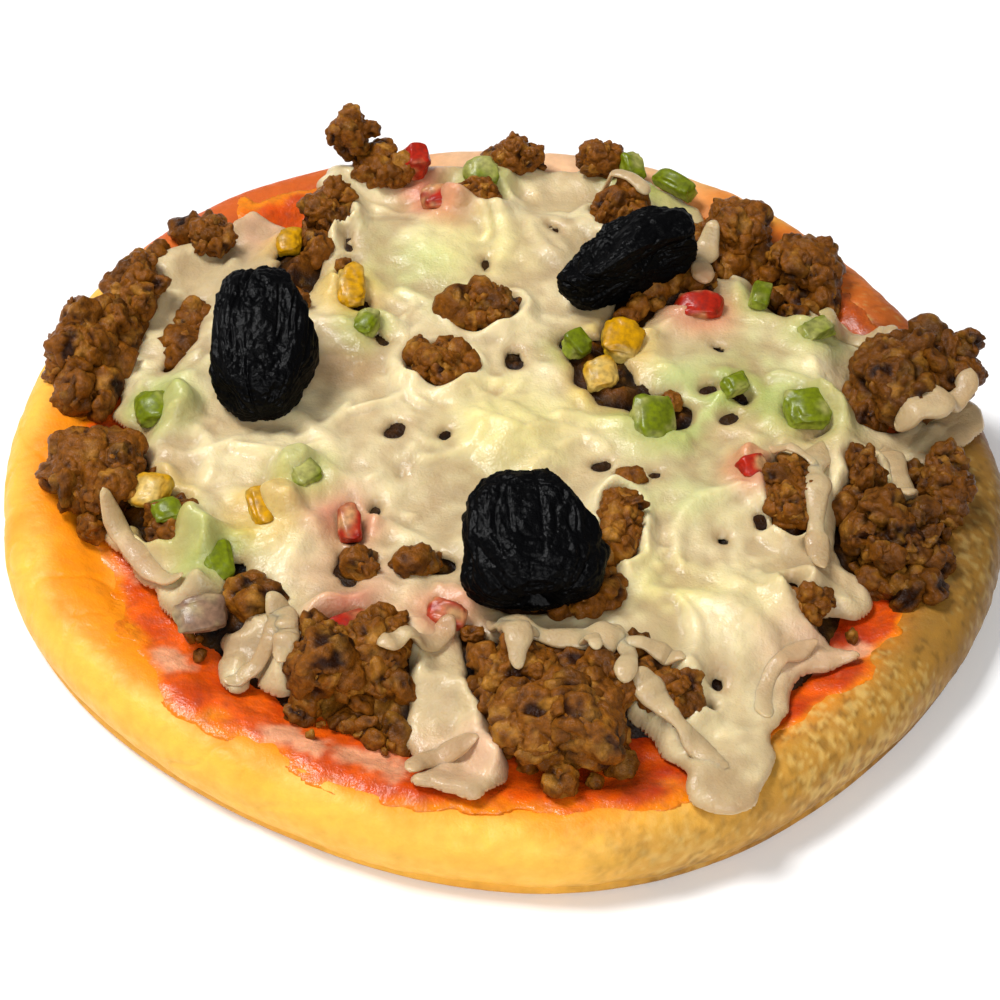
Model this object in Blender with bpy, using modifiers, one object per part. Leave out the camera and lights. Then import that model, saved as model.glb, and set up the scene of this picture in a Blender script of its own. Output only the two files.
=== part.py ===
"""Minced meat pizza: a small round pizza with crumbled meat, diced peppers, melted cheese and black olives.

It lies on its flat underside. The origin is the middle of the underside, X runs to the right, Y away from the
viewer and Z up. Sizes below are in millimetres, and MM turns them to metres where a mesh is made. A place is
the middle of a piece, a size is its length along X, Y and Z before it is turned, and angles are in degrees.
"""

import math

import bmesh
import bpy
import numpy as np
from mathutils import Euler, Matrix, Vector
from mathutils.bvhtree import BVHTree

MM = 0.001
GAP = 0.3
# A little more room under a piece that lies on an uneven surface
SLACK = 0.15
SEED = 7

# Crust: a flat base with a low rounded rim
CRUST_RADIUS = 74.8
CRUST_PROFILE = (
    (1.0, 4.6),
    (0.993, 7.4),
    (0.968, 9.4),
    (0.925, 10.1),
    (0.88, 9.5),
    (0.80, 7.0),
)
CRUST_FOOT = ((0.952, 0.0), (0.986, 1.5))
CRUST_STEPS = 64
# How far the edge strays from a circle: waves around it, millimetres, and the angle of the first crest
CRUST_WAVES = ((2, 0.3, -11.0), (3, 0.2, 65.0), (4, 0.3, 10.0), (5, 0.85, -6.5))

# Tomato sauce: a thin coat inside the rim, wider at the front and ragged
SAUCE_THICK = 1.0
SAUCE_EDGE_THICK = 0.5
SAUCE_REACH = 64.5
SAUCE_FRONT_REACH = 3.5
SAUCE_WAVES = ((3, 0.9, 260.0), (7, 0.8, 30.0), (11, 0.6, 95.0))
# It thins out from inside its edge to this far past it
SAUCE_PAST = 3.0
SAUCE_FADE = 5.0
# Least way from the knee, where the rim's slope ends, to the ragged edge
SAUCE_KNEE_ROOM = 0.6

# Bed of crumbled meat under the cheese
BED_REACH = 57.0
BED_WAVES = ((4, 1.2, 40.0), (6, 1.0, 250.0))
BED_HEIGHT = 3.4
BED_SWELL = 0.5
BED_SWELL_LENGTH = 24.0
BED_EDGE_HEIGHT = 0.9
BED_SHOULDER = 7.0
BED_SKIRT = 4.0

# Melted cheese: a draped sheet made of runs of melted shreds, cut from a square lattice
LATTICE = 4.0
CHEESE_THICK = 2.3
CHEESE_EDGE_THICK = 1.0
CHEESE_SHOULDER = 5.0
CHEESE_SWELL = 0.5
CHEESE_SWELL_LENGTH = 17.0
# A piece this close to the sheet's outline still lies on it
CHEESE_BRINK = 2.0
# How widely neighbouring runs flow together
CHEESE_BLEND = 1.6
# More room under the sheet, in gaps, from this far past the bed's reach and over this width
CHEESE_ROOM = ((1.8, -11.0, 5.0), (0.9, 6.0, 6.0))
# One end, the other end and the radius at each
CHEESE_RUNS = (
    (-14, 46, 6, 50, 15, 13),
    (-8, 60, -14, 59, 5, 5),
    (-30, 58, -25, 51, 5, 7),
    (-20, 35, -24, 18, 13, 11),
    (-53, 35, -42, 37, 5, 5),
    (-56, 30, -56, 2, 4.5, 5),
    (-48, 30, -46, 4, 7, 10),
    (-42, -8, -20, -3, 11, 13),
    (-5, 15, 0, -5, 15, 16),
    (-32, -20, -29, -36, 12, 8),
    (-40, -28, -39, -37, 6, 4),
    (-31, -40, -35, -48, 5, 3.5),
    (-15, -18, -8, -24, 11, 9),
    (-22, -34, -6, -33, 4.5, 4.5),
    (-12, -38, -5, -56, 4.5, 5),
    (-5, -56, -2, -62, 5, 4),
    (18, -8, 34, -14, 14, 12),
    (28, -28, 34, -34, 13, 11),
    (32, -38, 33, -58, 9, 5),
    (32, -58, 30.5, -64, 5, 4),
    (44, -16, 47, -2, 4.5, 5),
    (45, -22, 50, -27, 5, 4.5),
    (34, 0, 44, 6, 11, 10),
    (28, 20, 40, 22, 11, 12),
    (46, 18, 50, 28, 8, 5),
    (38, 36, 36, 40, 6, 4.5),
    (10, 32, 4, 24, 7, 10),
    (18, 58, 24, 54, 7, 7),
    (50, 2, 57, 3, 5, 4),
    (57, 3, 67.5, 8.5, 4, 4.5),
)
# One end, the other end and one radius
CHEESE_HOLES = (
    (-11.5, 12.5, -10.5, 12.5, 5.4),
    (-4.5, 27, -3.5, 27, 5.2),
    (17, -16, 17, -22, 4.2),
    (42, -8, 42, -14, 4.8),
    (14, 13, 14, 14, 4.5),
    (24, 4.5, 25, 4.5, 3.6),
    (16.5, 52.5, 17.5, 52.5, 5.6),
)
# Thick smooth lumps: x, y, radius, height
CHEESE_MOUNDS = (
    (1, 0, 12, 2.6),
    (-12, 44, 12, 1.2),
    (-28, -24, 8, 1.4),
    (32, -34, 9, 1.4),
    (44, 16, 8, 1.6),
    (-55, 18, 5, 1.2),
    (24, 14, 6, 1.6),
)
MOUND_SHOULDER = 3.0

# Black olives: name, place, size and turn about X, Y and Z
OLIVES = (
    ("olive_left", (-37.8, 9.6, 19.2), (16.8, 29, 14), (15, 0, 4)),
    ("olive_front", (4, -28.4, 19.4), (21.5, 24, 14.5), (14, 0, 8)),
    ("olive_back", (17.5, 34.5, 19), (26, 14, 12.5), (0, -10, 27)),
)
# A ball's cross-section power, how much its ends narrow and how uneven it is
OLIVE_BARREL = 0.85
OLIVE_TAPER = 0.12
OLIVE_ROUGH = 0.05

# Crumbled meat: each clump is one or more crumbs grown together, with place, size and turn about Z
MEAT = (
    ((-29, 63.4, 17.2, 7, 6, 10, 15), (-24, 61, 13, 11, 8, 7, -20)),
    ((-31, 49, 13.6, 8, 12, 7, 10),),
    ((-49, 41, 12.6, 8, 7, 6, 0),),
    ((-59.4, 27.5, 12.8, 7, 17, 8, 5),),
    ((-64.5, 14, 13.0, 10, 19, 9, -12),),
    ((-58.8, -14.5, 13.2, 15, 15.5, 9.5, 0),),
    ((-47, -22.5, 12.4, 9, 8, 6, 30),),
    ((-22, -47.2, 13.4, 15, 12, 8.5, 10), (-15.5, -44, 14.0, 9, 10, 8, 0)),
    ((9, -57, 14.0, 20, 14, 12, 0), (3, -49, 14.4, 10, 12, 9, 0), (15, -49, 14.2, 10, 11, 9, 0)),
    ((24, -50, 12.8, 9, 9, 7, 0),),
    ((44, -31, 12.0, 8, 7, 5, 0),),
    ((56.8, -16.8, 13.2, 13, 14.5, 9, -15),),
    ((65.5, -5, 12.8, 8, 13, 8, 0),),
    ((60, 14, 15.2, 15, 16, 12, 0), (67, 18, 14.6, 11, 14, 11, 20)),
    ((53.5, -5, 13.0, 6, 8, 6, 0),),
    ((36, 49.6, 13.2, 11, 13, 9, 0),),
    ((47, 42.5, 13.2, 11, 11, 8, -30),),
    ((-1, 65.5, 13.6, 8, 6, 8, 0),),
    ((14, 66, 13.0, 9, 6, 7, 0),),
    ((-7, 55, 13.4, 9, 7, 6, 0),),
    ((-4, 27, 13.8, 9, 8, 6, 0),),
    ((-11, 12.5, 13.2, 9, 8, 6, 0),),
    ((17, 52.5, 14.0, 10, 9, 7, 0),),
    ((17, -19, 13.8, 6.5, 13, 6, 0),),
    ((42, -11, 13.8, 8, 13, 7, 0),),
)

CRUMB_ROUGH = 0.13
# An uneven ball falls short of its size by this much
CRUMB_GROWN = 1.04
# A crumb of more than this length times width takes a finer ball
LARGE_CRUMB = 200.0

# Diced peppers: place, size and turn about X, Y and Z
GREEN_PEPPER = (
    ((-53, 0, 14.4), (6, 6, 3.4), (12, -8, 10)),
    ((-29, -12.8, 15.4), (5, 5, 3), (8, 6, 40)),
    ((-40, -30, 14.0), (5, 7, 3), (18, 0, 20)),
    ((22, 3.2, 14.8), (7.5, 8, 3.4), (22, 8, 10)),
    ((34.5, 11.5, 15.4), (5, 4, 3), (15, 0, 30)),
    ((45.5, 7, 15.4), (8, 7, 3), (14, 6, 15)),
    ((47.5, 25, 15.4), (7, 4, 3), (10, 0, 35)),
    ((39, 32.5, 15.4), (3.4, 6, 3), (0, 12, -10)),
    ((-6.5, 60.2, 15.0), (6, 5, 3), (25, 0, 0)),
    ((18.5, 64.5, 14.6), (4.5, 6, 4), (20, 10, 25)),
    ((25.5, 61, 14.4), (8, 3.5, 4), (20, 0, -35)),
    ((10, 18.5, 15.4), (4.5, 4.5, 3.2), (20, 0, 45)),
    ((-48, -22.5, 15.6), (5, 4.5, 3), (15, -8, 20)),
    ((-23, 20.5, 15.2), (4, 5, 3), (15, 0, -20)),
)
YELLOW_PEPPER = (
    ((-26, 29, 15.2), (5, 8, 3), (18, 0, 15)),
    ((-51, -18.5, 15.6), (6.5, 6, 3.2), (20, -10, -15)),
    ((-34.5, -20.8, 15.6), (4.2, 7, 3), (16, 0, 20)),
    ((17, 20.4, 15.2), (7, 7.5, 3.4), (20, 10, -10)),
    ((14, 12.2, 15.0), (5.5, 6, 3.4), (18, 0, 15)),
    ((-37, 40, 14.2), (4.5, 5, 3), (15, 0, 10)),
)
RED_PEPPER = (
    ((-18, 61.4, 15.2), (5, 5, 6), (10, 10, 15)),
    ((-13.5, 53, 14.8), (6, 4.5, 3), (15, 0, 10)),
    ((29, 29.6, 15.0), (8, 5, 3), (15, 0, 0)),
    ((36.5, -6.4, 15.4), (5, 4, 3), (18, 0, 20)),
    ((-21.8, -22, 15.0), (3.6, 6, 3), (14, 0, 10)),
    ((-20.5, -40.4, 14.0), (9, 3.5, 3), (20, 0, 28)),
    ((-7, -37.5, 14.2), (6, 4, 3), (20, 0, -15)),
)
ONION = (((-41, -40.5, 14.2), (8, 6, 2.6), (18, 0, 15)),)
DICE_WORN = 0.9

COLOURS = {
    "crust": ((0.86, 0.52, 0.16), 0.55),
    "tomato_sauce": ((0.62, 0.10, 0.02), 0.30),
    "minced_meat": ((0.20, 0.085, 0.025), 0.60),
    "cheese": ((0.80, 0.70, 0.45), 0.35),
    "olive": ((0.006, 0.006, 0.008), 0.25),
    "green_pepper": ((0.16, 0.24, 0.025), 0.35),
    "yellow_pepper": ((0.68, 0.42, 0.03), 0.35),
    "red_pepper": ((0.55, 0.04, 0.015), 0.35),
    "onion": ((0.45, 0.33, 0.26), 0.35),
}

PARTS = bpy.data.collections.new("Minced meat pizza")
CUTTERS = bpy.data.collections.new("Pockets")


def clear_scene():
    for obj in list(bpy.data.objects):
        bpy.data.objects.remove(obj, do_unlink=True)
    for collection in (PARTS, CUTTERS):
        bpy.context.scene.collection.children.link(collection)


def material(name):
    found = bpy.data.materials.get(name)
    if found:
        return found
    colour, roughness = COLOURS[name]
    made = bpy.data.materials.new(name)
    made.use_nodes = True
    shader = made.node_tree.nodes["Principled BSDF"]
    shader.inputs["Base Color"].default_value = (*colour, 1.0)
    shader.inputs["Roughness"].default_value = roughness
    shader.inputs["Metallic"].default_value = 0.0
    return made


def add_object(name, bm, finish):
    """Puts the mesh, built in millimetres, into a new object in metres."""
    bmesh.ops.scale(bm, vec=(MM, MM, MM), verts=bm.verts)
    mesh = bpy.data.meshes.new(name)
    bm.to_mesh(mesh)
    bm.free()
    mesh.materials.append(material(finish))
    mesh.shade_smooth()
    obj = bpy.data.objects.new(name, mesh)
    PARTS.objects.link(obj)
    return obj


def points_of(mesh):
    """The mesh's points in millimetres, one row each."""
    co = np.empty(len(mesh.vertices) * 3)
    mesh.vertices.foreach_get("co", co)
    return co.reshape(-1, 3) / MM


def set_points(mesh, points):
    mesh.vertices.foreach_set("co", (points * MM).ravel())
    mesh.update()


def ease(t):
    """0 below 0, 1 above 1 and a smooth step between them."""
    t = np.clip(t, 0.0, 1.0)
    return t * t * (3.0 - 2.0 * t)


def waves(angle, terms):
    return sum(size * np.cos(count * (angle - math.radians(crest))) for count, size, crest in terms)


def swell(x, y, wavelength, seed):
    """A gentle uneven surface between about -1 and 1: six waves of one length, each its own way."""
    draw = np.random.default_rng(SEED + seed)
    total = 0.0
    for way, phase in draw.uniform(0.0, 2.0 * math.pi, (6, 2)):
        along = x * math.cos(way) + y * math.sin(way)
        total = total + np.cos(2.0 * math.pi * along / wavelength + phase)
    return total / 3.0


def crust_edge(angle):
    return CRUST_RADIUS + waves(angle, CRUST_WAVES)


def crust_top(x, y):
    """Height of the crust's top: the profile from the floor out to the rim's crest, scaled to the edge."""
    share = np.hypot(x, y) / crust_edge(np.arctan2(y, x))
    rim = sorted(CRUST_PROFILE)
    return np.interp(share, [r for r, _ in rim], [z for _, z in rim])


def sauce_edge(angle):
    front = SAUCE_FRONT_REACH * ease(-np.sin(angle))
    return SAUCE_REACH + front + waves(angle, SAUCE_WAVES)


def sauce_top(x, y):
    """Height of the sauce, eased down to the crust just past its ragged edge."""
    inside = sauce_edge(np.arctan2(y, x)) - np.hypot(x, y)
    return crust_top(x, y) + GAP + SAUCE_THICK * ease((inside + SAUCE_PAST) / SAUCE_FADE)


def bed_edge(angle):
    return BED_REACH + waves(angle, BED_WAVES)


def bed_top(x, y):
    """Height of the crumbled meat: level with slow swells inside, eased down to the sauce past its edge."""
    inside = bed_edge(np.arctan2(y, x)) - np.hypot(x, y)
    heap = BED_HEIGHT + BED_SWELL * swell(x, y, BED_SWELL_LENGTH, 1)
    low = BED_EDGE_HEIGHT * ease((inside + BED_SKIRT) / BED_SKIRT)
    return sauce_top(x, y) + low + (heap - BED_EDGE_HEIGHT) * ease(inside / BED_SHOULDER)


def run_distance(x, y, run):
    """Distance to a rounded run from one end to the other, negative inside it."""
    x0, y0, x1, y1, r0, r1 = run
    dx, dy = x1 - x0, y1 - y0
    t = np.clip(((x - x0) * dx + (y - y0) * dy) / max(dx * dx + dy * dy, 1e-9), 0.0, 1.0)
    return np.hypot(x - x0 - t * dx, y - y0 - t * dy) - (r0 + t * (r1 - r0))


def cheese_distance(x, y):
    """Distance to the melted sheet's outline, negative inside: its runs flow together, less its holes."""
    total = sum(np.exp(-run_distance(x, y, run) / CHEESE_BLEND) for run in CHEESE_RUNS)
    sheet = -CHEESE_BLEND * np.log(total)
    for x0, y0, x1, y1, radius in CHEESE_HOLES:
        sheet = np.maximum(sheet, -run_distance(x, y, (x0, y0, x1, y1, radius, radius)))
    return sheet


def cheese_under(x, y):
    """The sheet drapes over the meat, with a little more room on the rim's slope and past the meat's edge."""
    out = np.hypot(x, y) - BED_REACH
    room = sum(gaps * ease((out - start) / width) for gaps, start, width in CHEESE_ROOM)
    return bed_top(x, y) + GAP * (1.0 + room)


def cheese_top(x, y):
    inside = -cheese_distance(x, y)
    thick = CHEESE_THICK + CHEESE_SWELL * swell(x, y, CHEESE_SWELL_LENGTH, 2)
    thick = CHEESE_EDGE_THICK + (thick - CHEESE_EDGE_THICK) * ease(inside / CHEESE_SHOULDER)
    for mx, my, radius, height in CHEESE_MOUNDS:
        lump = height * ease(1.0 - np.hypot(x - mx, y - my) / radius)
        thick = thick + lump * ease(inside / MOUND_SHOULDER)
    return cheese_under(x, y) + thick


def make_crust():
    """A turned profile, closed by a flat floor and a flat foot."""
    bm = bmesh.new()
    line = [bm.verts.new((r, 0.0, z)) for r, z in (*CRUST_FOOT, *CRUST_PROFILE)]
    edges = [bm.edges.new(pair) for pair in zip(line, line[1:])]
    bmesh.ops.spin(
        bm,
        geom=line + edges,
        cent=(0, 0, 0),
        axis=(0, 0, 1),
        angle=2 * math.pi,
        steps=CRUST_STEPS,
        use_merge=True,
    )
    bmesh.ops.remove_doubles(bm, verts=bm.verts, dist=1e-4)
    bmesh.ops.holes_fill(bm, edges=[edge for edge in bm.edges if edge.is_boundary], sides=0)
    bmesh.ops.recalc_face_normals(bm, faces=bm.faces)
    for vert in bm.verts:
        edge = float(crust_edge(math.atan2(vert.co.y, vert.co.x)))
        vert.co.x *= edge
        vert.co.y *= edge
    add_object("crust", bm, "crust")


def sauce_radius(stop, angle):
    """The sauce's floor edge, the knee where it meets the rim's flatter crest, or its ragged edge."""
    rim = float(crust_edge(angle))
    edge = float(sauce_edge(angle))
    if stop == "floor":
        return CRUST_PROFILE[-1][0] * rim
    if stop == "knee":
        return min(CRUST_PROFILE[-2][0] * rim, edge - SAUCE_KNEE_ROOM)
    return edge


def make_sauce():
    """A turned coat that follows the crust's slope, with a ragged edge."""
    bm = bmesh.new()
    under = [("floor", 0.0), ("knee", 0.0), ("edge", 0.0)]
    over = [("edge", SAUCE_EDGE_THICK), ("knee", SAUCE_THICK), ("floor", SAUCE_THICK)]
    rings = []
    for stop, thick in under + over:
        ring = []
        for step in range(CRUST_STEPS):
            angle = 2 * math.pi * step / CRUST_STEPS
            radius = sauce_radius(stop, angle)
            x, y = radius * math.cos(angle), radius * math.sin(angle)
            ring.append(bm.verts.new((x, y, float(crust_top(x, y)) + GAP + thick)))
        rings.append(ring)
    for lower, upper in zip(rings, rings[1:]):
        for i in range(CRUST_STEPS):
            j = (i + 1) % CRUST_STEPS
            bm.faces.new((lower[i], lower[j], upper[j], upper[i]))
    bm.faces.new(rings[0])
    bm.faces.new(rings[-1])
    bmesh.ops.recalc_face_normals(bm, faces=bm.faces)
    add_object("tomato_sauce", bm, "tomato_sauce")


def whole_cells(distance):
    """Which cells of the lattice lie inside, with corner-to-corner contacts filled."""
    count = 2 * int(CRUST_RADIUS // LATTICE + 1)
    reach = count * LATTICE / 2
    middle = -reach + LATTICE * (np.arange(count) + 0.5)
    x, y = np.meshgrid(middle, middle, indexing="ij")
    inside = distance(x, y) < 0.0
    for _ in range(4):
        a, b = inside[:-1, :-1], inside[1:, :-1]
        c, d = inside[:-1, 1:], inside[1:, 1:]
        cross = (a & d & ~b & ~c) | (b & c & ~a & ~d)
        inside[:-1, :-1] |= cross
        inside[1:, :-1] |= cross
        inside[:-1, 1:] |= cross
        inside[1:, 1:] |= cross
    return inside, count, reach


def make_layer(name, distance, under, top, finish, flat=False):
    """A sheet cut from a square lattice, drawn to its outline, with its top and underside set by formulas."""
    inside, count, reach = whole_cells(distance)
    bm = bmesh.new()
    bmesh.ops.create_grid(bm, x_segments=count, y_segments=count, size=reach)
    outside = []
    for face in bm.faces:
        centre = face.calc_center_median()
        i, j = int((centre.x + reach) // LATTICE), int((centre.y + reach) // LATTICE)
        if not inside[i, j]:
            outside.append(face)
    bmesh.ops.delete(bm, geom=outside, context="FACES")
    bmesh.ops.triangulate(bm, faces=bm.faces, quad_method="FIXED")
    keep_largest(bm)
    edge = np.array([vert.is_boundary for vert in bm.verts])
    mesh = bpy.data.meshes.new(name)
    bm.to_mesh(mesh)
    bm.free()
    points = points_of(mesh) * MM
    for _ in range(3):
        points[edge, :2] -= outline_step(distance, points[edge, 0], points[edge, 1])
    points[:, 2] = 0.0
    set_points(mesh, points)
    sheet = bpy.data.objects.new(name, mesh)
    PARTS.objects.link(sheet)
    shell = sheet.modifiers.new("Thickness", "SOLIDIFY")
    shell.thickness = MM
    shell.offset = -1.0
    sheet = applied(sheet)
    sheet.data.materials.clear()
    sheet.data.materials.append(material(finish))
    sheet.data.shade_smooth()
    whole = points_of(sheet.data)
    half = len(whole) // 2
    x, y = points[:, 0], points[:, 1]
    whole[:half] = np.column_stack((x, y, top(x, y)))
    whole[half:] = np.column_stack((x, y, under(x, y)))
    set_points(sheet.data, whole)
    if flat:
        dissolve_underside(sheet)
    return sheet


def outline_step(distance, x, y):
    """The short move that brings a point near the outline onto it, never more than a fifth of a cell."""
    h = 0.05
    d = distance(x, y)
    gx = (distance(x + h, y) - distance(x - h, y)) / (2 * h)
    gy = (distance(x, y + h) - distance(x, y - h)) / (2 * h)
    steep = np.maximum(gx * gx + gy * gy, 0.3)
    step = np.column_stack((d * gx / steep, d * gy / steep))
    length = np.maximum(np.linalg.norm(step, axis=1), 1e-9)
    return step * np.minimum(1.0, LATTICE / 5 / length)[:, None]


def dissolve_underside(obj):
    """Turns a level underside into one face."""
    bm = bmesh.new()
    bm.from_mesh(obj.data)
    level = min(vert.co.z for vert in bm.verts)
    low = [f for f in bm.faces if all(abs(v.co.z - level) < 1e-7 for v in f.verts)]
    bmesh.ops.dissolve_faces(bm, faces=low)
    bm.to_mesh(obj.data)
    bm.free()


def applied(obj):
    """The object with its modifiers applied."""
    bpy.context.view_layer.update()
    graph = bpy.context.evaluated_depsgraph_get()
    mesh = bpy.data.meshes.new_from_object(obj.evaluated_get(graph))
    old = obj.data
    obj.modifiers.clear()
    obj.data = mesh
    mesh.name = old.name
    bpy.data.meshes.remove(old)
    return obj


def islands(bm):
    left, found = set(bm.faces), []
    while left:
        stack, body = [left.pop()], []
        while stack:
            face = stack.pop()
            body.append(face)
            for edge in face.edges:
                for other in edge.link_faces:
                    if other in left:
                        left.remove(other)
                        stack.append(other)
        found.append(body)
    return found


def keep_largest(bm):
    """Drops loose scraps and keeps the main body."""
    bodies = sorted(islands(bm), key=len)
    loose = [face for body in bodies[:-1] for face in body]
    bmesh.ops.delete(bm, geom=loose, context="FACES")


def pocket(obj):
    """A copy of a piece grown by the gap all round, which makes its pocket in a neighbour."""
    bm = bmesh.new()
    bm.from_mesh(obj.data)
    bm.normal_update()
    moves = [vert.normal * min(vert.calc_shell_factor(), 2.0) * GAP * MM for vert in bm.verts]
    for vert, move in zip(bm.verts, moves):
        vert.co += move
    mesh = bpy.data.meshes.new(obj.name + "_pocket")
    bm.to_mesh(mesh)
    bm.free()
    made = bpy.data.objects.new(mesh.name, mesh)
    made.hide_render = True
    made.display_type = "WIRE"
    CUTTERS.objects.link(made)
    return made


def box_of(obj):
    points = points_of(obj.data)
    return points.min(axis=0), points.max(axis=0)


def near(first, second):
    (low_a, high_a), (low_b, high_b) = box_of(first), box_of(second)
    return bool((low_a < high_b + GAP).all() and (low_b < high_a + GAP).all())


def combine(obj, others, operation):
    """One Boolean of the object with a collection of others, which are then removed."""
    if not others:
        return
    group = bpy.data.collections.new("Group")
    bpy.context.scene.collection.children.link(group)
    for other in others:
        group.objects.link(other)
    joint = obj.modifiers.new(operation.title(), "BOOLEAN")
    joint.operation = operation
    joint.operand_type = "COLLECTION"
    joint.collection = group
    joint.solver = "MANIFOLD"
    applied(obj)
    for other in others:
        bpy.data.objects.remove(other, do_unlink=True)
    bpy.data.collections.remove(group)
    bm = bmesh.new()
    bm.from_mesh(obj.data)
    keep_largest(bm)
    bm.to_mesh(obj.data)
    bm.free()
    obj.data.materials.clear()
    obj.data.materials.append(bpy.data.materials[obj["finish"]])


def place(bm, centre, size, turn):
    """Scales a unit shape to its size, turns it and moves it to its place."""
    turned = Euler([math.radians(angle) for angle in turn]).to_matrix().to_4x4()
    pose = Matrix.Translation(Vector(centre)) @ turned
    bmesh.ops.transform(bm, matrix=pose @ Matrix.Diagonal((*size, 1.0)), verts=bm.verts)


def set_down(bm, on_cheese=False):
    """Flattens a piece where it would sink into the meat, sauce or crust below it, or into the cheese."""
    for vert in bm.verts:
        x, y = vert.co.x, vert.co.y
        floor = float(bed_top(x, y)) + GAP + SLACK
        if on_cheese and cheese_distance(x, y) < CHEESE_BRINK:
            floor = float(cheese_top(x, y)) + GAP + SLACK
        vert.co.z = max(vert.co.z, floor)


def rough(bm, size, seed):
    """Moves each point of a unit ball in or out by a smooth uneven amount."""
    draw = np.random.default_rng(SEED + seed)
    ways = draw.normal(size=(9, 3))
    ways *= (draw.uniform(3.0, 8.0, 9) / np.linalg.norm(ways, axis=1))[:, None]
    phases = draw.uniform(0.0, 2.0 * math.pi, 9)
    for vert in bm.verts:
        way = np.array(vert.co.normalized())
        vert.co *= 1.0 + size * float(np.cos(ways @ way + phases).sum()) / 3.0


def make_crumb(name, crumb, seed):
    x, y, z, sx, sy, sz, turn = crumb
    bm = bmesh.new()
    fine = 3 if sx * sy > LARGE_CRUMB else 2
    bmesh.ops.create_icosphere(bm, subdivisions=fine, radius=0.5)
    rough(bm, CRUMB_ROUGH, seed)
    place(bm, (x, y, z), [CRUMB_GROWN * length for length in (sx, sy, sz)], (0, 0, turn))
    set_down(bm)
    return add_object(name, bm, "minced_meat")


def make_meat(index, crumbs):
    """One clump: its crumbs joined by a union."""
    made = []
    for k, crumb in enumerate(crumbs):
        made.append(make_crumb(f"crumb_{index}_{k}", crumb, 100 + 10 * index + k))
    clump = made[0]
    clump["finish"] = "minced_meat"
    combine(clump, made[1:], "UNION")
    clump.name = f"minced_meat_{index + 1:02d}"
    return clump


def make_olive(name, centre, size, turn):
    """A wrinkled ball, pointed at one end and torn at the other."""
    bm = bmesh.new()
    bmesh.ops.create_icosphere(bm, subdivisions=3, radius=0.5)
    rough(bm, OLIVE_ROUGH, len(name))
    for vert in bm.verts:
        ball = 2.0 * vert.co
        full = [math.copysign(abs(part) ** OLIVE_BARREL, part) for part in ball]
        vert.co = 0.5 * Vector(full) * (1.0 - OLIVE_TAPER * abs(ball.y) ** 3)
    place(bm, centre, size, turn)
    set_down(bm, on_cheese=True)
    return add_object(name, bm, "olive")


def make_dice(name, finish, centre, size, turn):
    """A small block with worn edges."""
    bm = bmesh.new()
    bmesh.ops.create_cube(bm, size=1.0)
    place(bm, (0, 0, 0), size, (0, 0, 0))
    upright = []
    for edge in bm.edges:
        if abs(edge.verts[0].co.z - edge.verts[1].co.z) > 0.5 * size[2]:
            upright.append(edge)
    bmesh.ops.bevel(bm, geom=upright, offset=DICE_WORN, segments=1, affect="EDGES")
    place(bm, centre, (1, 1, 1), turn)
    set_down(bm, on_cheese=True)
    return add_object(name, bm, finish)


def make_toppings():
    """Every loose piece, each cut clear of those set down before it."""
    placed = []
    for name, centre, size, turn in OLIVES:
        placed.append(fit(make_olive(name, centre, size, turn), "olive", placed))
    for index, crumbs in enumerate(MEAT):
        placed.append(fit(make_meat(index, crumbs), "minced_meat", placed))
    for finish, pieces in (
        ("green_pepper", GREEN_PEPPER),
        ("yellow_pepper", YELLOW_PEPPER),
        ("red_pepper", RED_PEPPER),
        ("onion", ONION),
    ):
        for index, (centre, size, turn) in enumerate(pieces):
            piece = make_dice(f"{finish}_{index + 1:02d}", finish, centre, size, turn)
            placed.append(fit(piece, finish, placed))
    return placed


def fit(piece, finish, placed):
    piece["finish"] = finish
    combine(piece, [pocket(other) for other in placed if near(piece, other)], "DIFFERENCE")
    return piece


def flat_floor(x, y):
    return np.full_like(x, CRUST_PROFILE[-1][1] + 2 * GAP + SAUCE_THICK)


def bed_distance(x, y):
    return np.hypot(x, y) - bed_edge(np.arctan2(y, x))


def make_layers(toppings):
    bed = make_layer("minced_meat_bed", bed_distance, flat_floor, bed_top, "minced_meat", flat=True)
    fit(bed, "minced_meat", [piece for piece in toppings if meets(piece, bed)])
    sheet = make_layer("cheese", cheese_distance, cheese_under, cheese_top, "cheese")
    fit(sheet, "cheese", [piece for piece in toppings if meets(piece, sheet)])


def surface_tree(obj, grow=0.0):
    bm = bmesh.new()
    bm.from_mesh(obj.data)
    bm.normal_update()
    for vert, move in zip(bm.verts, [vert.normal * grow * MM for vert in bm.verts]):
        vert.co += move
    tree = BVHTree.FromBMesh(bm)
    bm.free()
    return tree


def meets(piece, layer):
    """Whether a piece, grown by a third of the gap, cuts the layer's surface."""
    return bool(surface_tree(piece, GAP / 3).overlap(surface_tree(layer)))


def main():
    clear_scene()
    make_crust()
    make_sauce()
    make_layers(make_toppings())


main()
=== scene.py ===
"""Looks of the minced meat pizza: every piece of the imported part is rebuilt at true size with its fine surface.

Sizes inside the script are in millimetres, in the part's own frame: the origin is the middle of the underside,
X runs to the right, Y away from the viewer and Z up. MM turns them to metres where a mesh is made.
"""

import itertools
import math

import bpy
import numpy as np
from bpy.props import FloatProperty, FloatVectorProperty, PointerProperty
from mathutils import Euler, Matrix, Vector


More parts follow.
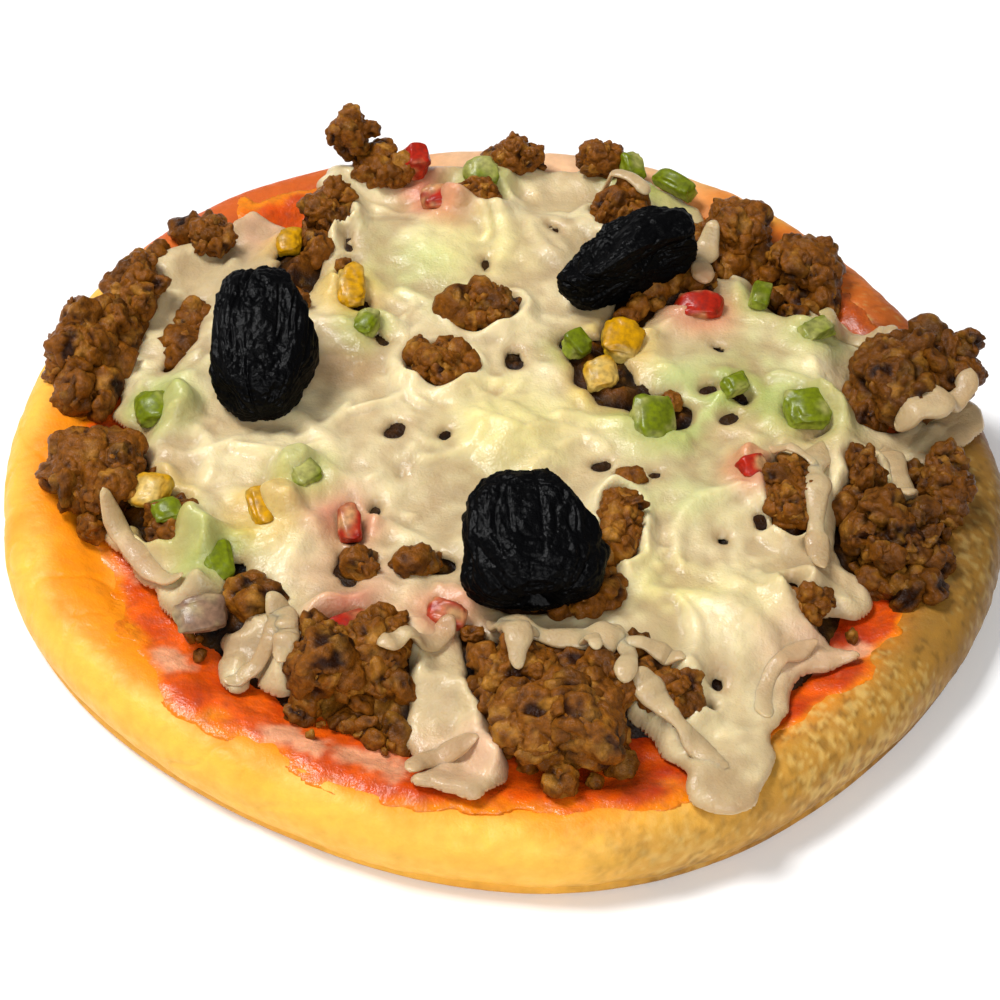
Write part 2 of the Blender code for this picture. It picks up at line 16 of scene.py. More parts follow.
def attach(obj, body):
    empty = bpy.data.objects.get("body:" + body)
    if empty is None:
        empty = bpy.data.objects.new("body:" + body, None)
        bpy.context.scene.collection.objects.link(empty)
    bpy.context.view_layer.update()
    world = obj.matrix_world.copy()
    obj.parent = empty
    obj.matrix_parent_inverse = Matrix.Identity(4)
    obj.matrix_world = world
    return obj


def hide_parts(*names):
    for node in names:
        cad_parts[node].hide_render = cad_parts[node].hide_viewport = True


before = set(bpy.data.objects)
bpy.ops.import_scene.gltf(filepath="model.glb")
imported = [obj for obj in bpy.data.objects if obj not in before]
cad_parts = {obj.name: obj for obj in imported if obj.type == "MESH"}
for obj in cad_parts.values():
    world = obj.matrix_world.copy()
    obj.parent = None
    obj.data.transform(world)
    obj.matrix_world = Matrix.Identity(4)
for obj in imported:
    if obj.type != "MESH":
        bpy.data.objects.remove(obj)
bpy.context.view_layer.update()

bl_info = {
    "name": "Minced meat pizza",
    "version": (1, 0, 0),
    "blender": (4, 5, 0),
    "location": "View3D > Sidebar > Pizza",
    "description": "Builds the crust, sauce, minced meat, cheese, olives and diced peppers of a small pizza",
    "category": "Add Mesh",
}

MM = 0.001
SEED = 7

# How fine the meshes are: each sheet's lattice spacing and how far out its lattice reaches, steps round the crust,
# rings and sides of a string of cheese, and the parts that each edge of an icosahedron is cut into to make a ball
CHEESE_CELL, CHEESE_LATTICE = 0.47, 73.5
SAUCE_CELL, SAUCE_LATTICE = 0.6, 72.0
BED_CELL, BED_LATTICE = 0.6, 63.0
CRUST_TURN_STEPS = 800
ROPE_STEPS, ROPE_SIDES = 64, 14
OLIVE_CUTS = 60
DICE_CUTS = 12
LARGE_CORE_CUTS, CORE_CUTS = 30, 16
KNOB_CUTS = 7
CRUMB_CUTS = 6
GRAIN_CUTS = 4

# Crust: radius of its edge, and waves round it as their number, size and the angle of the first crest
CRUST_RADIUS = 74.8
CRUST_WAVES = ((2, 0.3, -11.0), (3, 0.2, 65.0), (4, 0.3, 10.0), (5, 0.85, -6.5))
# Its section, from the middle of the underside round the rim to the middle of the top: share of the edge, height and
# the number of steps to the next station
CRUST_SECTION = (
    (0.0, 0.0, 2),
    (0.60, 0.0, 8),
    (0.952, 0.0, 5),
    (0.986, 1.5, 6),
    (1.0, 4.6, 6),
    (0.993, 7.4, 5),
    (0.968, 9.4, 6),
    (0.925, 10.1, 6),
    (0.88, 9.5, 10),
    (0.80, 7.0, 4),
    (0.60, 7.0, 2),
    (0.0, 7.0, 0),
)

# Sauce: how far out it reaches, how much further in front and round one angle at the back, its waves, its inner edge
# under the heap, and how deep its underside lies in the crust
SAUCE_REACH = 64.5
SAUCE_FRONT_REACH = 3.5
SAUCE_BACK_REACH = 3.5
SAUCE_BACK_ANGLE = 126.0
SAUCE_WAVES = ((3, 0.9, 260.0), (7, 0.8, 30.0), (11, 0.6, 95.0))
SAUCE_INNER_EDGE = 46.0
SAUCE_SUNK = 0.6

# Pale smears of fat on the sauce: both ends and radius
SAUCE_SMEARS = (
    (-28, -58, -12, -62, 2.6),
    (-46, -43, -43, -47, 2.0),
    (-66, -4, -63, -12, 1.2),
    (42, -40, 52, -36, 1.4),
    (-60, -24, -52, -30, 0.8),
)

# Heap of crumbled meat: how far out it reaches and its waves
BED_REACH = 57.0
BED_WAVES = ((4, 1.2, 40.0), (6, 1.0, 250.0))

# Melted cheese: how deep its underside lies in the meat, and how far apart its runs start to flow together
CHEESE_SUNK = 0.5
CHEESE_BLEND = 1.6
# Its runs, and the thin strands at its edge: both ends, then the radius at each end
CHEESE_RUNS = (
    (-14, 46, 6, 50, 15, 13),
    (-14, 60.5, 12, 60, 4.5, 4.5),
    (-29, 57, -25, 52, 4.5, 7),
    (-20, 35, -24, 18, 12, 11),
    (-54, 35.5, -42, 37, 4.2, 4.5),
    (-43, 45.5, -39, 43.5, 4.4, 4),
    (-30, 60, -26, 60, 2.6, 3),
    (-54, 31, -55.5, 3, 3.8, 4.8),
    (-47.5, 30, -46, 4, 6, 9.5),
    (-42, -8, -20, -3, 11, 13),
    (-5, 15, 0, -5, 15, 16),
    (-31, -18, -30, -26, 9.5, 7.5),
    (-42, -24, -42, -34, 4.4, 4.2),
    (-33, -28, -28, -36, 4.4, 4.2),
    (-28, -36, -27.5, -43, 4, 3),
    (-15, -18, -8, -23, 10.5, 8),
    (-25, -36, -12, -32, 3, 3.2),
    (-13.5, -33, -12.5, -38.5, 3.4, 3.0),
    (-10, -40, -5, -55, 3.8, 4.6),
    (-5, -55, -1.5, -61, 4.4, 3.4),
    (1, -37.5, 17, -37, 2.8, 3.0),
    (18, -8, 34, -14, 14, 12),
    (28, -28, 34, -34, 12.5, 10),
    (31, -38, 32, -56, 9, 5),
    (32, -56, 30.5, -64, 4.6, 4),
    (45.5, -16, 47.5, -2, 2.4, 3.4),
    (45, -24, 50, -27, 4.4, 4.2),
    (34, 0, 44, 6, 11, 10),
    (28, 20, 40, 22, 11, 12),
    (46, 18, 47, 29, 8, 5.5),
    (34.5, 38, 34.5, 30, 3.6, 4),
    (10, 32, 4, 24, 7, 10),
    (18, 58, 24, 54, 7, 6.5),
    (50, 2, 57, 3, 4.2, 3),
    (57, 3, 67.5, 8.5, 3, 4.2),
    (57, 1, 58.5, -9, 2.6, 2.0),
    (50, 27.5, 58, 26.5, 2.4, 1.8),
)
CHEESE_STRANDS = (
    (-56.5, -21.5, -45, -32, 1.9, 2.6),
    (-35.5, -48, -34.5, -42, 1.8, 1.8),
    (-34.5, -42, -31, -39.5, 1.8, 1.8),
    (-31, -40, -29, -48.5, 1.7, 2.2),
    (20, -51, 31, -60, 1.6, 2.0),
    (40, -40, 50, -38, 1.8, 1.4),
    (38.5, -41, 37.5, -49, 1.9, 1.4),
    (66, 8, 70, 11, 3.0, 3.4),
    (-1.5, -61, -4, -64.5, 2.8, 2.0),
    (-4, -64.5, -9, -65, 2.0, 1.4),
    (-8, -32, -3, -34, 2.4, 2.0),
)
# Its holes: both ends and the radius. The cheese closes in over the meat a little where a hole is wide
WIDE_HOLE = 2.0
HOLE_CLOSED = 0.8
CHEESE_HOLES = (
    (-12.5, 14.5, -9.5, 14.5, 4.2),
    (-11, 11.5, -10.5, 11.5, 2.0),
    (-6, 25.5, -3, 28.5, 4.0),
    (17.3, -14, 17.3, -23, 2.6),
    (42, -5, 42, -15, 3.2),
    (13, 13, 12, 17, 3.6),
    (16.5, 21.5, 9, 21, 2.6),
    (26.5, 7.5, 26, 5, 2.3),
    (16, 55, 17.5, 51.5, 3.8),
    (-9, 56.5, -5, 56, 2.2),
    (-50.4, 26, -50.8, 18, 1.2),
    (-50.8, 18, -53, 12, 0.5),
    (-31.5, 51, -30, 46.5, 2.4),
    (-37, 38, -36, 42, 2.0),
    (-27.5, 42.5, -27.3, 40.5, 0.7),
    (-24.5, 27.5, -24, 26.5, 1.1),
    (-21.5, 20.5, -20, 18.5, 0.5),
    (22, -7, 22.5, -7, 0.9),
    (14, -6, 14.8, -5.6, 0.7),
    (32, -19, 32.4, -19, 0.8),
    (-17, -1.5, -16.5, -0.5, 1.1),
    (0.3, 17, 0.6, 15.5, 0.9),
    (-37, -30, -36.5, -40, 1.3),
    (-33.5, -33.5, -33, -37, 1.5),
    (-22, -19, -21.5, -23, 1.3),
    (-22, -30, -21, -32, 1.0),
    (-12, -27.5, -7.5, -27.8, 1.7),
    (34, 11.5, 36, 10, 0.6),
    (45.5, 2.5, 47.5, 4, 0.5),
    (37.8, -14.5, 37.9, -16, 0.6),
    (52.5, -2, 53.5, -6, 2.3),
    (-5, 40, -4.8, 37, 0.4),
    (5, 49, 6.5, 48, 0.3),
    (41, 34, 43, 32, 1.3),
    (-9.5, -1.8, -9, -1, 0.4),
    (-15.5, -9, -15.2, -10, 0.4),
)
# How many small holes and melted shreds lie at seeded places
SMALL_HOLES = 16
CHEESE_SHREDS = 190
# Thick smooth lumps: x, y, radius, height
CHEESE_MOUNDS = (
    (1, 0, 12, 2.6),
    (-12, 44, 12, 1.2),
    (-28, -24, 8, 1.4),
    (32, -34, 9, 1.4),
    (44, 16, 8, 1.6),
    (-55, 18, 5, 1.2),
    (24, 14, 6, 1.6),
)
# Thin strings of cheese drawn over what lies below: their height as a share of their width, how often their line is
# evened out, and each one's two ends, sideways bow and radius
ROPE_FLATNESS = 0.42
ROPE_PASSES = 80
CHEESE_ROPES = (
    (-1, -38, 3.5, -51, 1.2, 1.7),
    (15, -38, 17.5, -52, 1.6, 1.8),
    (0, -40.5, 18, -41, -1.6, 2.4),
    (2, -45, 9, -41, 0.8, 1.6),
    (10, -41, 13.5, -47, 0.8, 1.4),
    (17, -43, 26, -45, 1.0, 1.5),
    (-57, -21, -44, -34, -1.2, 2.0),
    (-36.5, -50, -30.5, -38, -2.8, 1.9),
    (-31.5, -37, -28.5, -50, 1.2, 1.8),
    (47.5, 1, 46, -25, -1.2, 2.2),
    (57, 3, 59, -12, 0.8, 2.1),
    (48, 28, 60.5, 26, 0.8, 1.9),
    (58, 4, 70, 13, -2.2, 2.6),
    (19, -49, 32, -61, -0.8, 1.9),
    (45, -37, 37.5, -51, -3.0, 1.6),
    (39, -2, 46, -7, 0.8, 1.2),
    (11, 58, 21, 52, 0.8, 1.4),
    (-6, -39, -16, -48, 1.0, 1.6),
    (30, 33, 31.5, 46, 0.8, 1.9),
    (-1.5, -59, -10, -65, -2.2, 1.8),
)
# Stains in the cheese from what lies under it: x, y, radius, colour, strength
CHEESE_STAINS = (
    (1, 0, 13, "rich", 0.9),
    (-8, 40, 12, "rich", 0.7),
    (-18, 36, 10, "green", 0.7),
    (33, 10, 15, "green", 0.85),
    (27, -12, 9, "green", 0.5),
    (23, -31, 8, "rich", 0.9),
    (36, -30, 7, "rich", 0.4),
    (-25, -17, 7, "pink", 0.8),
    (24, -38, 4, "green", 0.4),
    (44, 2, 6, "pink", 0.5),
    (-42, 44, 7, "pink", 0.9),
    (55, -24, 5, "pink", 0.6),
    (45, -40, 9, "pink", 0.7),
    (-4, -62, 9, "pink", 0.7),
    (-42, -28, 7, "green", 0.8),
    (-52, 4, 7, "green", 0.6),
    (-20, -34, 8, "pink", 0.7),
    (-50, -27, 7, "pink", 0.6),
    (-33, -45, 6, "thin", 0.6),
    (-6, -50, 8, "thin", 0.5),
    (30.5, -63, 6, "thin", 0.8),
    (70, 8, 7, "thin", 0.6),
    (8, 42, 9, "thin", 0.4),
    (-26, 12, 6, "thin", 0.9),
    (-48, 32, 9, "thin", 0.5),
    (34, 3, 5, "pink", 0.5),
    (12, 4, 7, "rich", 0.6),
    (56, 0, 6, "thin", 0.5),
    (46, -24, 6, "thin", 0.5),
)

# Black olives: node, place, size, turn, flat or torn faces as a direction and how far out each lies, and notches as a
# direction, width and depth
OLIVES = (
    (
        "olive_left",
        (-37.8, 9.6, 19.2),
        (16.8, 29, 14),
        (15, 0, 4),
        ((0.1, 1, 0, 0.84), (0.8, 0.6, 0, 0.76), (-1, 0.1, 0, 0.88), (0.75, -0.66, 0, 0.88), (0, -0.1, 1, 0.85)),
        ((-0.15, 1, 0.3, 0.42, 3.0), (-0.6, -0.8, 0.2, 0.4, 1.6)),
    ),
    (
        "olive_front",
        (4, -28.4, 19.4),
        (21.5, 24, 14.5),
        (14, 0, 8),
        ((0.8, 0.6, 0, 0.68), (-1, 0.1, 0, 0.82), (-0.4, 0.9, 0, 0.86), (0.25, -0.97, 0, 0.9), (0, 0, 1, 0.86)),
        ((0.05, -1, 0.1, 0.36, 2.4), (-0.8, 0.6, 0.2, 0.4, 1.4), (-1, -0.35, 0.3, 0.35, 1.2)),
    ),
    (
        "olive_back",
        (17.5, 34.5, 19),
        (26, 14, 12.5),
        (0, -10, 27),
        ((0.1, -1, 0, 0.6), (-0.62, 0.78, 0, 0.66), (1, -0.2, 0, 0.88), (-0.5, 0.2, 0.84, 0.7)),
        ((0.4, -1, 0.2, 0.5, 1.6),),
    ),
)

# Crumbled meat: each clump's crumbs, with place, size and turn about Z
MEAT = (
    ((-29, 63.4, 17.2, 7, 6, 10, 15), (-24, 61, 13, 11, 8, 7, -20)),
    ((-31, 49, 13.6, 8, 12, 7, 10),),
    ((-49, 41, 12.6, 8, 7, 6, 0),),
    ((-59.4, 27.5, 12.8, 7, 17, 8, 5),),
    ((-64.5, 14, 13.0, 10, 19, 9, -12),),
    ((-58.8, -14.5, 13.2, 15, 15.5, 9.5, 0),),
    ((-47, -22.5, 12.4, 9, 8, 6, 30),),
    ((-22, -47.2, 13.4, 15, 12, 8.5, 10), (-15.5, -44, 14.0, 9, 10, 8, 0)),
    ((9, -57, 14.0, 20, 14, 12, 0), (3, -49, 14.4, 10, 12, 9, 0), (15, -49, 14.2, 10, 11, 9, 0)),
    ((24, -50, 12.8, 9, 9, 7, 0),),
    ((44, -31, 12.0, 8, 7, 5, 0),),
    ((56.8, -16.8, 13.2, 13, 14.5, 9, -15),),
    ((65.5, -5, 12.8, 8, 13, 8, 0),),
    ((60, 14, 15.2, 15, 16, 12, 0), (67, 18, 14.6, 11, 14, 11, 20)),
    ((53.5, -5, 13.0, 6, 8, 6, 0),),
    ((36, 49.6, 13.2, 11, 13, 9, 0),),
    ((47, 42.5, 13.2, 11, 11, 8, -30),),
    ((-1, 65.5, 13.6, 8, 6, 8, 0),),
    ((14, 66, 13.0, 9, 6, 7, 0),),
    ((-7, 55, 13.4, 9, 7, 6, 0),),
    ((-4, 27, 13.8, 9, 8, 6, 0),),
    ((-11, 12.5, 13.2, 9, 8, 6, 0),),
    ((17, 52.5, 14.0, 10, 9, 7, 0),),
    ((17, -19, 13.8, 6.5, 13, 6, 0),),
    ((42, -11, 13.8, 8, 13, 7, 0),),
)
MEAT_CRUMBS = [crumb for crumbs in MEAT for crumb in crumbs]
# Size of a crumb's core as a share of the crumb, in the open and where the cheese closes round it, and the mean size
# over which a core gets the finer ball
CORE_SHARE, CORE_SHARE_IN_CHEESE = 0.86, 0.8
LARGE_CORE = 10.0

# Crumbs on the open heap, those tried round the foot of each crumb above, and how far out these may lie
HEAP_CRUMBS = 150
SKIRT_CRUMBS = 10
SKIRT_REACH = 68.0

# Small grains round the heap's edge
LOOSE_CRUMBS = 60

# Crumbs past the heap's edge: the arc in degrees, the least and most distance from the middle, and their number
RIM_CRUMBS = (
    (139, 177, 62, 69.5, 110),
    (-24, 22, 57, 67.5, 80),
    (34, 52, 57, 63, 22),
    (-122, -70, 56, 60, 16),
    (153, 165, 53, 57, 40),
)

# Diced vegetables: place, size and turn about X, Y and Z
DICE = {
    "green_pepper": (
        ((-53, 0, 14.4), (6, 6, 3.4), (12, -8, 10)),
        ((-29, -12.8, 15.4), (5, 5, 3), (8, 6, 40)),
        ((-40, -30, 14.0), (5, 7, 3), (18, 0, 20)),
        ((22, 3.2, 14.8), (7.5, 8, 3.4), (22, 8, 10)),
        ((34.5, 11.5, 15.4), (5, 4, 3), (15, 0, 30)),
        ((45.5, 7, 15.4), (8, 7, 3), (14, 6, 15)),
        ((47.5, 25, 15.4), (7, 4, 3), (10, 0, 35)),
        ((39, 32.5, 15.4), (3.4, 6, 3), (0, 12, -10)),
        ((-6.5, 60.2, 15.0), (6, 5, 3), (25, 0, 0)),
        ((18.5, 64.5, 14.6), (4.5, 6, 4), (20, 10, 25)),
        ((25.5, 61, 14.4), (8, 3.5, 4), (20, 0, -35)),
        ((10, 18.5, 15.4), (4.5, 4.5, 3.2), (20, 0, 45)),
        ((-48, -22.5, 15.6), (5, 4.5, 3), (15, -8, 20)),
        ((-23, 20.5, 15.2), (4, 5, 3), (15, 0, -20)),
    ),
    "yellow_pepper": (
        ((-26, 29, 15.2), (5, 8, 3), (18, 0, 15)),
        ((-51, -18.5, 15.6), (6.5, 6, 3.2), (20, -10, -15)),
        ((-34.5, -20.8, 15.6), (4.2, 7, 3), (16, 0, 20)),
        ((17, 20.4, 15.2), (7, 7.5, 3.4), (20, 10, -10)),
        ((14, 12.2, 15.0), (5.5, 6, 3.4), (18, 0, 15)),
        ((-37, 40, 14.2), (4.5, 5, 3), (15, 0, 10)),
    ),
    "red_pepper": (
        ((-18, 61.4, 15.2), (5, 5, 6), (10, 10, 15)),
        ((-13.5, 53, 14.8), (6, 4.5, 3), (15, 0, 10)),
        ((29, 29.6, 15.0), (8, 5, 3), (15, 0, 0)),
        ((36.5, -6.4, 15.4), (5, 4, 3), (18, 0, 20)),
        ((-21.8, -22, 15.0), (3.6, 6, 3), (14, 0, 10)),
        ((-20.5, -40.4, 14.0), (9, 3.5, 3), (20, 0, 28)),
        ((-7, -37.5, 14.2), (6, 4, 3), (20, 0, -15)),
    ),
    "onion": (((-41, -40.5, 14.2), (8, 6, 2.6), (18, 0, 15)),),
}
DICE_PIECES = [(finish, *piece) for finish, pieces in DICE.items() for piece in pieces]

# The cheese climbs round each clump of meat within this reach from the middle: how high, and how far out from the clump
COLLAR_REACH = 58.0
COLLAR_HEIGHT = 3.5
COLLAR_WIDTH = 4.0

# Pepper and onion: size as a share of the solid, how far the cheese rises over one side of a piece and round it, how
# far the piece sinks in it, how strong the film of cheese on it is, and the turn in radians from one piece's covered
# side to the next one's
DICE_SHARE = 0.92
DICE_COVER = 2.8
DICE_COLLAR = 1.3
DICE_SUNK = 1.1
DICE_FILM = 0.4
DICE_SIDE_STEP = 2.4

# The least distance from a crumb's middle to a piece of pepper or onion
DICE_ROOM = 1.6

# Camera: lens and sensor width in millimetres, elevation and roll in degrees, and its distance and the point that it
# looks at in metres
LENS = 85.0
SENSOR = 36.0
CAMERA_ELEVATION = 46.11
CAMERA_ROLL = 3.39
CAMERA_DISTANCE = 0.35426
CAMERA_TARGET = (-0.000464, -0.008034, 0.006)

# Stage, in metres and watts: the floor's half width and height, the sky's strength, and each light's name, place, size
# and power
FLOOR_HALF = 3.0
FLOOR_HEIGHT = -2e-4
SKY_STRENGTH = 0.2
LIGHTS = (
    ("key", (-0.36, 0.10, 0.70), 0.28, 6.4),
    ("fill", (0.12, -0.60, 0.50), 0.45, 3.4),
)


def linear(red, green, blue):
    """A display colour, 0 to 255, as linear light."""
    share = np.array((red, green, blue)) / 255.0
    return tuple(np.where(share <= 0.04045, share / 12.92, ((share + 0.055) / 1.055) ** 2.4))


def ease(t):
    """0 below 0, 1 above 1 and a smooth step between them."""
    t = np.clip(t, 0.0, 1.0)
    return t * t * (3.0 - 2.0 * t)


def mixed(a, b, share):
    """Rows of colour a turned towards colour b by a share for each row."""
    share = np.clip(share, 0.0, 1.0)[:, None]
    return np.asarray(a) * (1.0 - share) + np.asarray(b) * share


def hashed(x, y, z, seed):
    """A scrambled number from 0 to 1 for each whole-number cell."""
    mixed_up = x.astype(np.uint64) * np.uint64(0x9E3779B97F4A7C15)
    mixed_up ^= y.astype(np.uint64) * np.uint64(0xC2B2AE3D27D4EB4F)
    mixed_up ^= z.astype(np.uint64) * np.uint64(0x165667B19E3779F9)
    mixed_up ^= np.uint64(seed * 0x27D4EB2F165667C5 % 2**64)
    mixed_up ^= mixed_up >> np.uint64(29)
    mixed_up *= np.uint64(0xBF58476D1CE4E5B9)
    mixed_up ^= mixed_up >> np.uint64(32)
    return (mixed_up & np.uint64(0xFFFFFF)).astype(float) / 0xFFFFFF


def noise(points, size, seed):
    """Smooth noise from -1 to 1: hashed values on a lattice of that cell size, eased together from its corners."""
    at = points / size
    low = np.floor(at)
    part = at - low
    part = part * part * (3.0 - 2.0 * part)
    cell = low.astype(np.int64)
    total = 0.0
    for i in (0, 1):
        for j in (0, 1):
            for k in (0, 1):
                weight = np.abs(1 - i - part[:, 0]) * np.abs(1 - j - part[:, 1]) * np.abs(1 - k - part[:, 2])
                total = total + weight * hashed(cell[:, 0] + i, cell[:, 1] + j, cell[:, 2] + k, seed)
    return 2.0 * total - 1.0


def turbulence(points, size, seed, octaves=3):
    """Noise at a size, then halved in size and strength for each further octave."""
    total, strength = 0.0, 1.0
    for octave in range(octaves):
        total = total + strength * noise(points, size / 2**octave, seed + 31 * octave)
        strength *= 0.5
    return total


def grains(points, size, seed):
    """Packed domes, 1 on top and about 0 in the creases: one less the squared distance to the nearest seed point."""
    at = points / size
    cell = np.floor(at).astype(np.int64)
    nearest = np.full(len(points), 9.0)
    for i in (-1, 0, 1):
        for j in (-1, 0, 1):
            for k in (-1, 0, 1):
                x, y, z = cell[:, 0] + i, cell[:, 1] + j, cell[:, 2] + k
                away = (x + hashed(x, y, z, seed) - at[:, 0]) ** 2
                away += (y + hashed(x, y, z, seed + 1) - at[:, 1]) ** 2
                away += (z + hashed(x, y, z, seed + 2) - at[:, 2]) ** 2
                nearest = np.minimum(nearest, away)
    return 1.0 - 1.3 * nearest


def plane(x, y, z=0.0):
    """Points on a level plane, for noise over a surface."""
    return np.column_stack((x, y, np.full(len(x), z)))


def waves(angle, terms):
    """Waves round the pizza: their number, size and the angle of the first crest."""
    return sum(size * np.cos(count * (angle - math.radians(crest))) for count, size, crest in terms)


def swell(x, y, wavelength, seed):
    """A gentle uneven surface between about -1 and 1: six waves of one length, each its own way."""
    draw = np.random.default_rng(SEED + seed)
    total = 0.0
    for way, phase in draw.uniform(0.0, 2.0 * math.pi, (6, 2)):
        along = x * math.cos(way) + y * math.sin(way)
        total = total + np.cos(2.0 * math.pi * along / wavelength + phase)
    return total / 3.0


def curve_through(stations):
    """A smooth line through the stations, each span in its own number of steps, by Catmull-Rom blending."""
    line = np.array(stations, float)
    padded = np.vstack((line[0], line, line[-1]))
    out = []
    for k in range(len(line) - 1):
        p0, p1, p2, p3 = padded[k : k + 4, :2]
        t = np.linspace(0.0, 1.0, int(line[k, 2]), endpoint=False)[:, None]
        bend = (2 * p0 - 5 * p1 + 4 * p2 - p3) * t**2 + (3 * p1 - p0 - 3 * p2 + p3) * t**3
        out.append(p1 + 0.5 * ((p2 - p0) * t + bend))
    return np.vstack((*out, line[-1:, :2]))


def crust_edge(angle):
    """Distance from the middle to the crust's edge: its radius with waves round it."""
    return CRUST_RADIUS + waves(angle, CRUST_WAVES)


def rim_line():
    """The crust's section as share of the edge and height, kept on or above the floor."""
    line = curve_through(CRUST_SECTION)
    line[:, 1] = np.maximum(line[:, 1], 0.0)
    return line


def crust_top(x, y):
    """Height of the crust's top: the section read outwards from the middle to its crest, scaled to the edge."""
    line = rim_line()
    crest = int(np.argmax(line[:, 1]))
    top = line[crest:][::-1]
    share = np.hypot(x, y) / crust_edge(np.arctan2(y, x))
    return np.interp(share, top[:, 0], top[:, 1])


def sauce_edge(angle):
    """Distance from the middle to the sauce's edge: its reach with waves, and further out in front and at the back."""
    front = SAUCE_FRONT_REACH * ease(-np.sin(angle))
    back = SAUCE_BACK_REACH * ease(1.5 - np.abs(np.degrees(angle) - SAUCE_BACK_ANGLE) / 20.0)
    return SAUCE_REACH + front + back + waves(angle, SAUCE_WAVES)


def sauce_top(x, y):
    """Height of the sauce, eased down to the crust just past its edge."""
    inside = sauce_edge(np.arctan2(y, x)) - np.hypot(x, y)
    return crust_top(x, y) + 0.3 + ease((inside + 3.0) / 5.0)


def bed_edge(angle):
    """Distance from the middle to the heap's edge: its reach with waves round it."""
    return BED_REACH + waves(angle, BED_WAVES)


def bed_top(x, y):
    """Height of the crumbled meat, level with slow swells inside and eased down to the sauce past its edge."""
    inside = bed_edge(np.arctan2(y, x)) - np.hypot(x, y)
    heap = 2.5 + 0.5 * swell(x, y, 24.0, 1)
    return sauce_top(x, y) + 0.9 * ease((inside + 4.0) / 4.0) + heap * ease(inside / 7.0)


def run_distance(x, y, run):
    """Distance to a rounded run from one end to the other, negative inside it."""
    x0, y0, x1, y1, r0, r1 = run
    dx, dy = x1 - x0, y1 - y0
    t = np.clip(((x - x0) * dx + (y - y0) * dy) / max(dx * dx + dy * dy, 1e-9), 0.0, 1.0)
    return np.hypot(x - x0 - t * dx, y - y0 - t * dy) - (r0 + t * (r1 - r0))


def small_holes():
    """Seeded gaps between the melted shreds, clear of the thick mounds."""
    draw = np.random.default_rng(SEED + 70)
    found = []
    while len(found) < SMALL_HOLES:
        x, y, way = *draw.uniform(-58, 58, 2), draw.uniform(0, math.pi)
        length, radius = draw.uniform(0.2, 3.0), draw.uniform(0.4, 1.0)
        if min(math.hypot(x - mx, y - my) - mr for mx, my, mr, _ in CHEESE_MOUNDS) > 0.0:
            found.append((x, y, x + length * math.cos(way), y + length * math.sin(way), radius))
    return found


def cheese_distance(x, y):
    """Distance to the sheet's outline, negative inside: its runs flow together, less its holes, with an uneven edge."""
    total = sum(np.exp(-run_distance(x, y, run) / CHEESE_BLEND) for run in CHEESE_RUNS)
    total = total + sum(np.exp(-run_distance(x, y, run) / CHEESE_BLEND) for run in CHEESE_STRANDS)
    sheet = -CHEESE_BLEND * np.log(total)
    sheet = sheet + 1.1 * noise(plane(x, y), 5.0, 41) + 0.5 * noise(plane(x, y), 2.2, 42)
    ragged = 0.5 * noise(plane(x, y), 3.0, 43)
    for x0, y0, x1, y1, radius in (*CHEESE_HOLES, *small_holes()):
        hole = -run_distance(x, y, (x0, y0, x1, y1, radius, radius))
        sheet = np.maximum(sheet, hole + ragged - HOLE_CLOSED * (radius > WIDE_HOLE))
    return sheet


def cheese_under(x, y):
    """The sheet drapes over the meat, with a little more room on the rim's slope and past the meat's edge."""
    out = np.hypot(x, y) - BED_REACH
    room = 1.8 * ease((out + 11.0) / 5.0) + 0.9 * ease((out - 6.0) / 6.0)
    return bed_top(x, y) + 0.3 * (1.0 + room)


def shred_ridges(x, y):
    """Melted shreds on the sheet: short bent ropes at seeded places, the highest one counting at each point."""
    draw = np.random.default_rng(SEED + 60)
    best = np.zeros(len(x))
    for _ in range(CHEESE_SHREDS):
        cx, cy = draw.uniform(-66, 66, 2)
        way, bend = draw.uniform(0, 2 * math.pi), draw.normal() * 0.05
        half, width, height = draw.uniform(3, 9), draw.uniform(1.8, 3.2), draw.uniform(0.5, 1.3)
        along = (x - cx) * math.cos(way) + (y - cy) * math.sin(way)
        across = (y - cy) * math.cos(way) - (x - cx) * math.sin(way) - bend * along**2
        past = np.maximum(np.abs(along) - half, 0.0)
        best = np.maximum(best, height * ease(1.0 - np.hypot(across, past) / width))
    return best


def cheese_thickness(x, y, inside, full):
    """Thickness of the sheet: rounded at its edge, with swells, shreds, lumps and collars round pepper and meat."""
    at = plane(x, y)
    body = full - 1.35 + 0.4 * swell(x, y, 17.0, 2) + 0.5 * noise(at, 6.0, 44) + 0.3 * noise(at, 2.6, 45)
    body = body + shred_ridges(x, y)
    for mx, my, radius, height in CHEESE_MOUNDS:
        body = body + height * ease(1.0 - np.hypot(x - mx, y - my) / radius)
    for k, (_, (px, py, _), (sx, sy, _), _) in enumerate(DICE_PIECES):
        way, half = DICE_SIDE_STEP * k, 0.25 * (sx + sy)
        away = np.hypot(x - px - 1.1 * half * math.cos(way), y - py - 1.1 * half * abs(math.sin(way)))
        body = body + DICE_COVER * ease(1.5 - away / (half + 0.2))
        body = body + DICE_COLLAR * ease(2.0 - np.hypot(x - px, y - py) / (half + 0.8))
    t = np.clip(inside / 2.6, 0.0, 1.0)
    round_edge = np.sqrt(1.0 - (1.0 - t) ** 2)
    thin = 1.3 + (np.maximum(body, 0.9) - 1.3) * ease(inside / 5.0)
    collar = np.zeros(len(x))
    for cx, cy, _, sx, sy, _, _ in MEAT_CRUMBS:
        if math.hypot(cx, cy) >= COLLAR_REACH:
            continue
        past = (np.hypot((x - cx) / sx, (y - cy) / sy) - 0.5) * 0.5 * (sx + sy)
        collar = np.maximum(collar, ease(1.0 - past / COLLAR_WIDTH))
    uneven = 0.75 + 0.5 * noise(at, 4.0, 46)
    return 0.12 + thin * round_edge + COLLAR_HEIGHT * collar * uneven * ease(inside / 2.2)


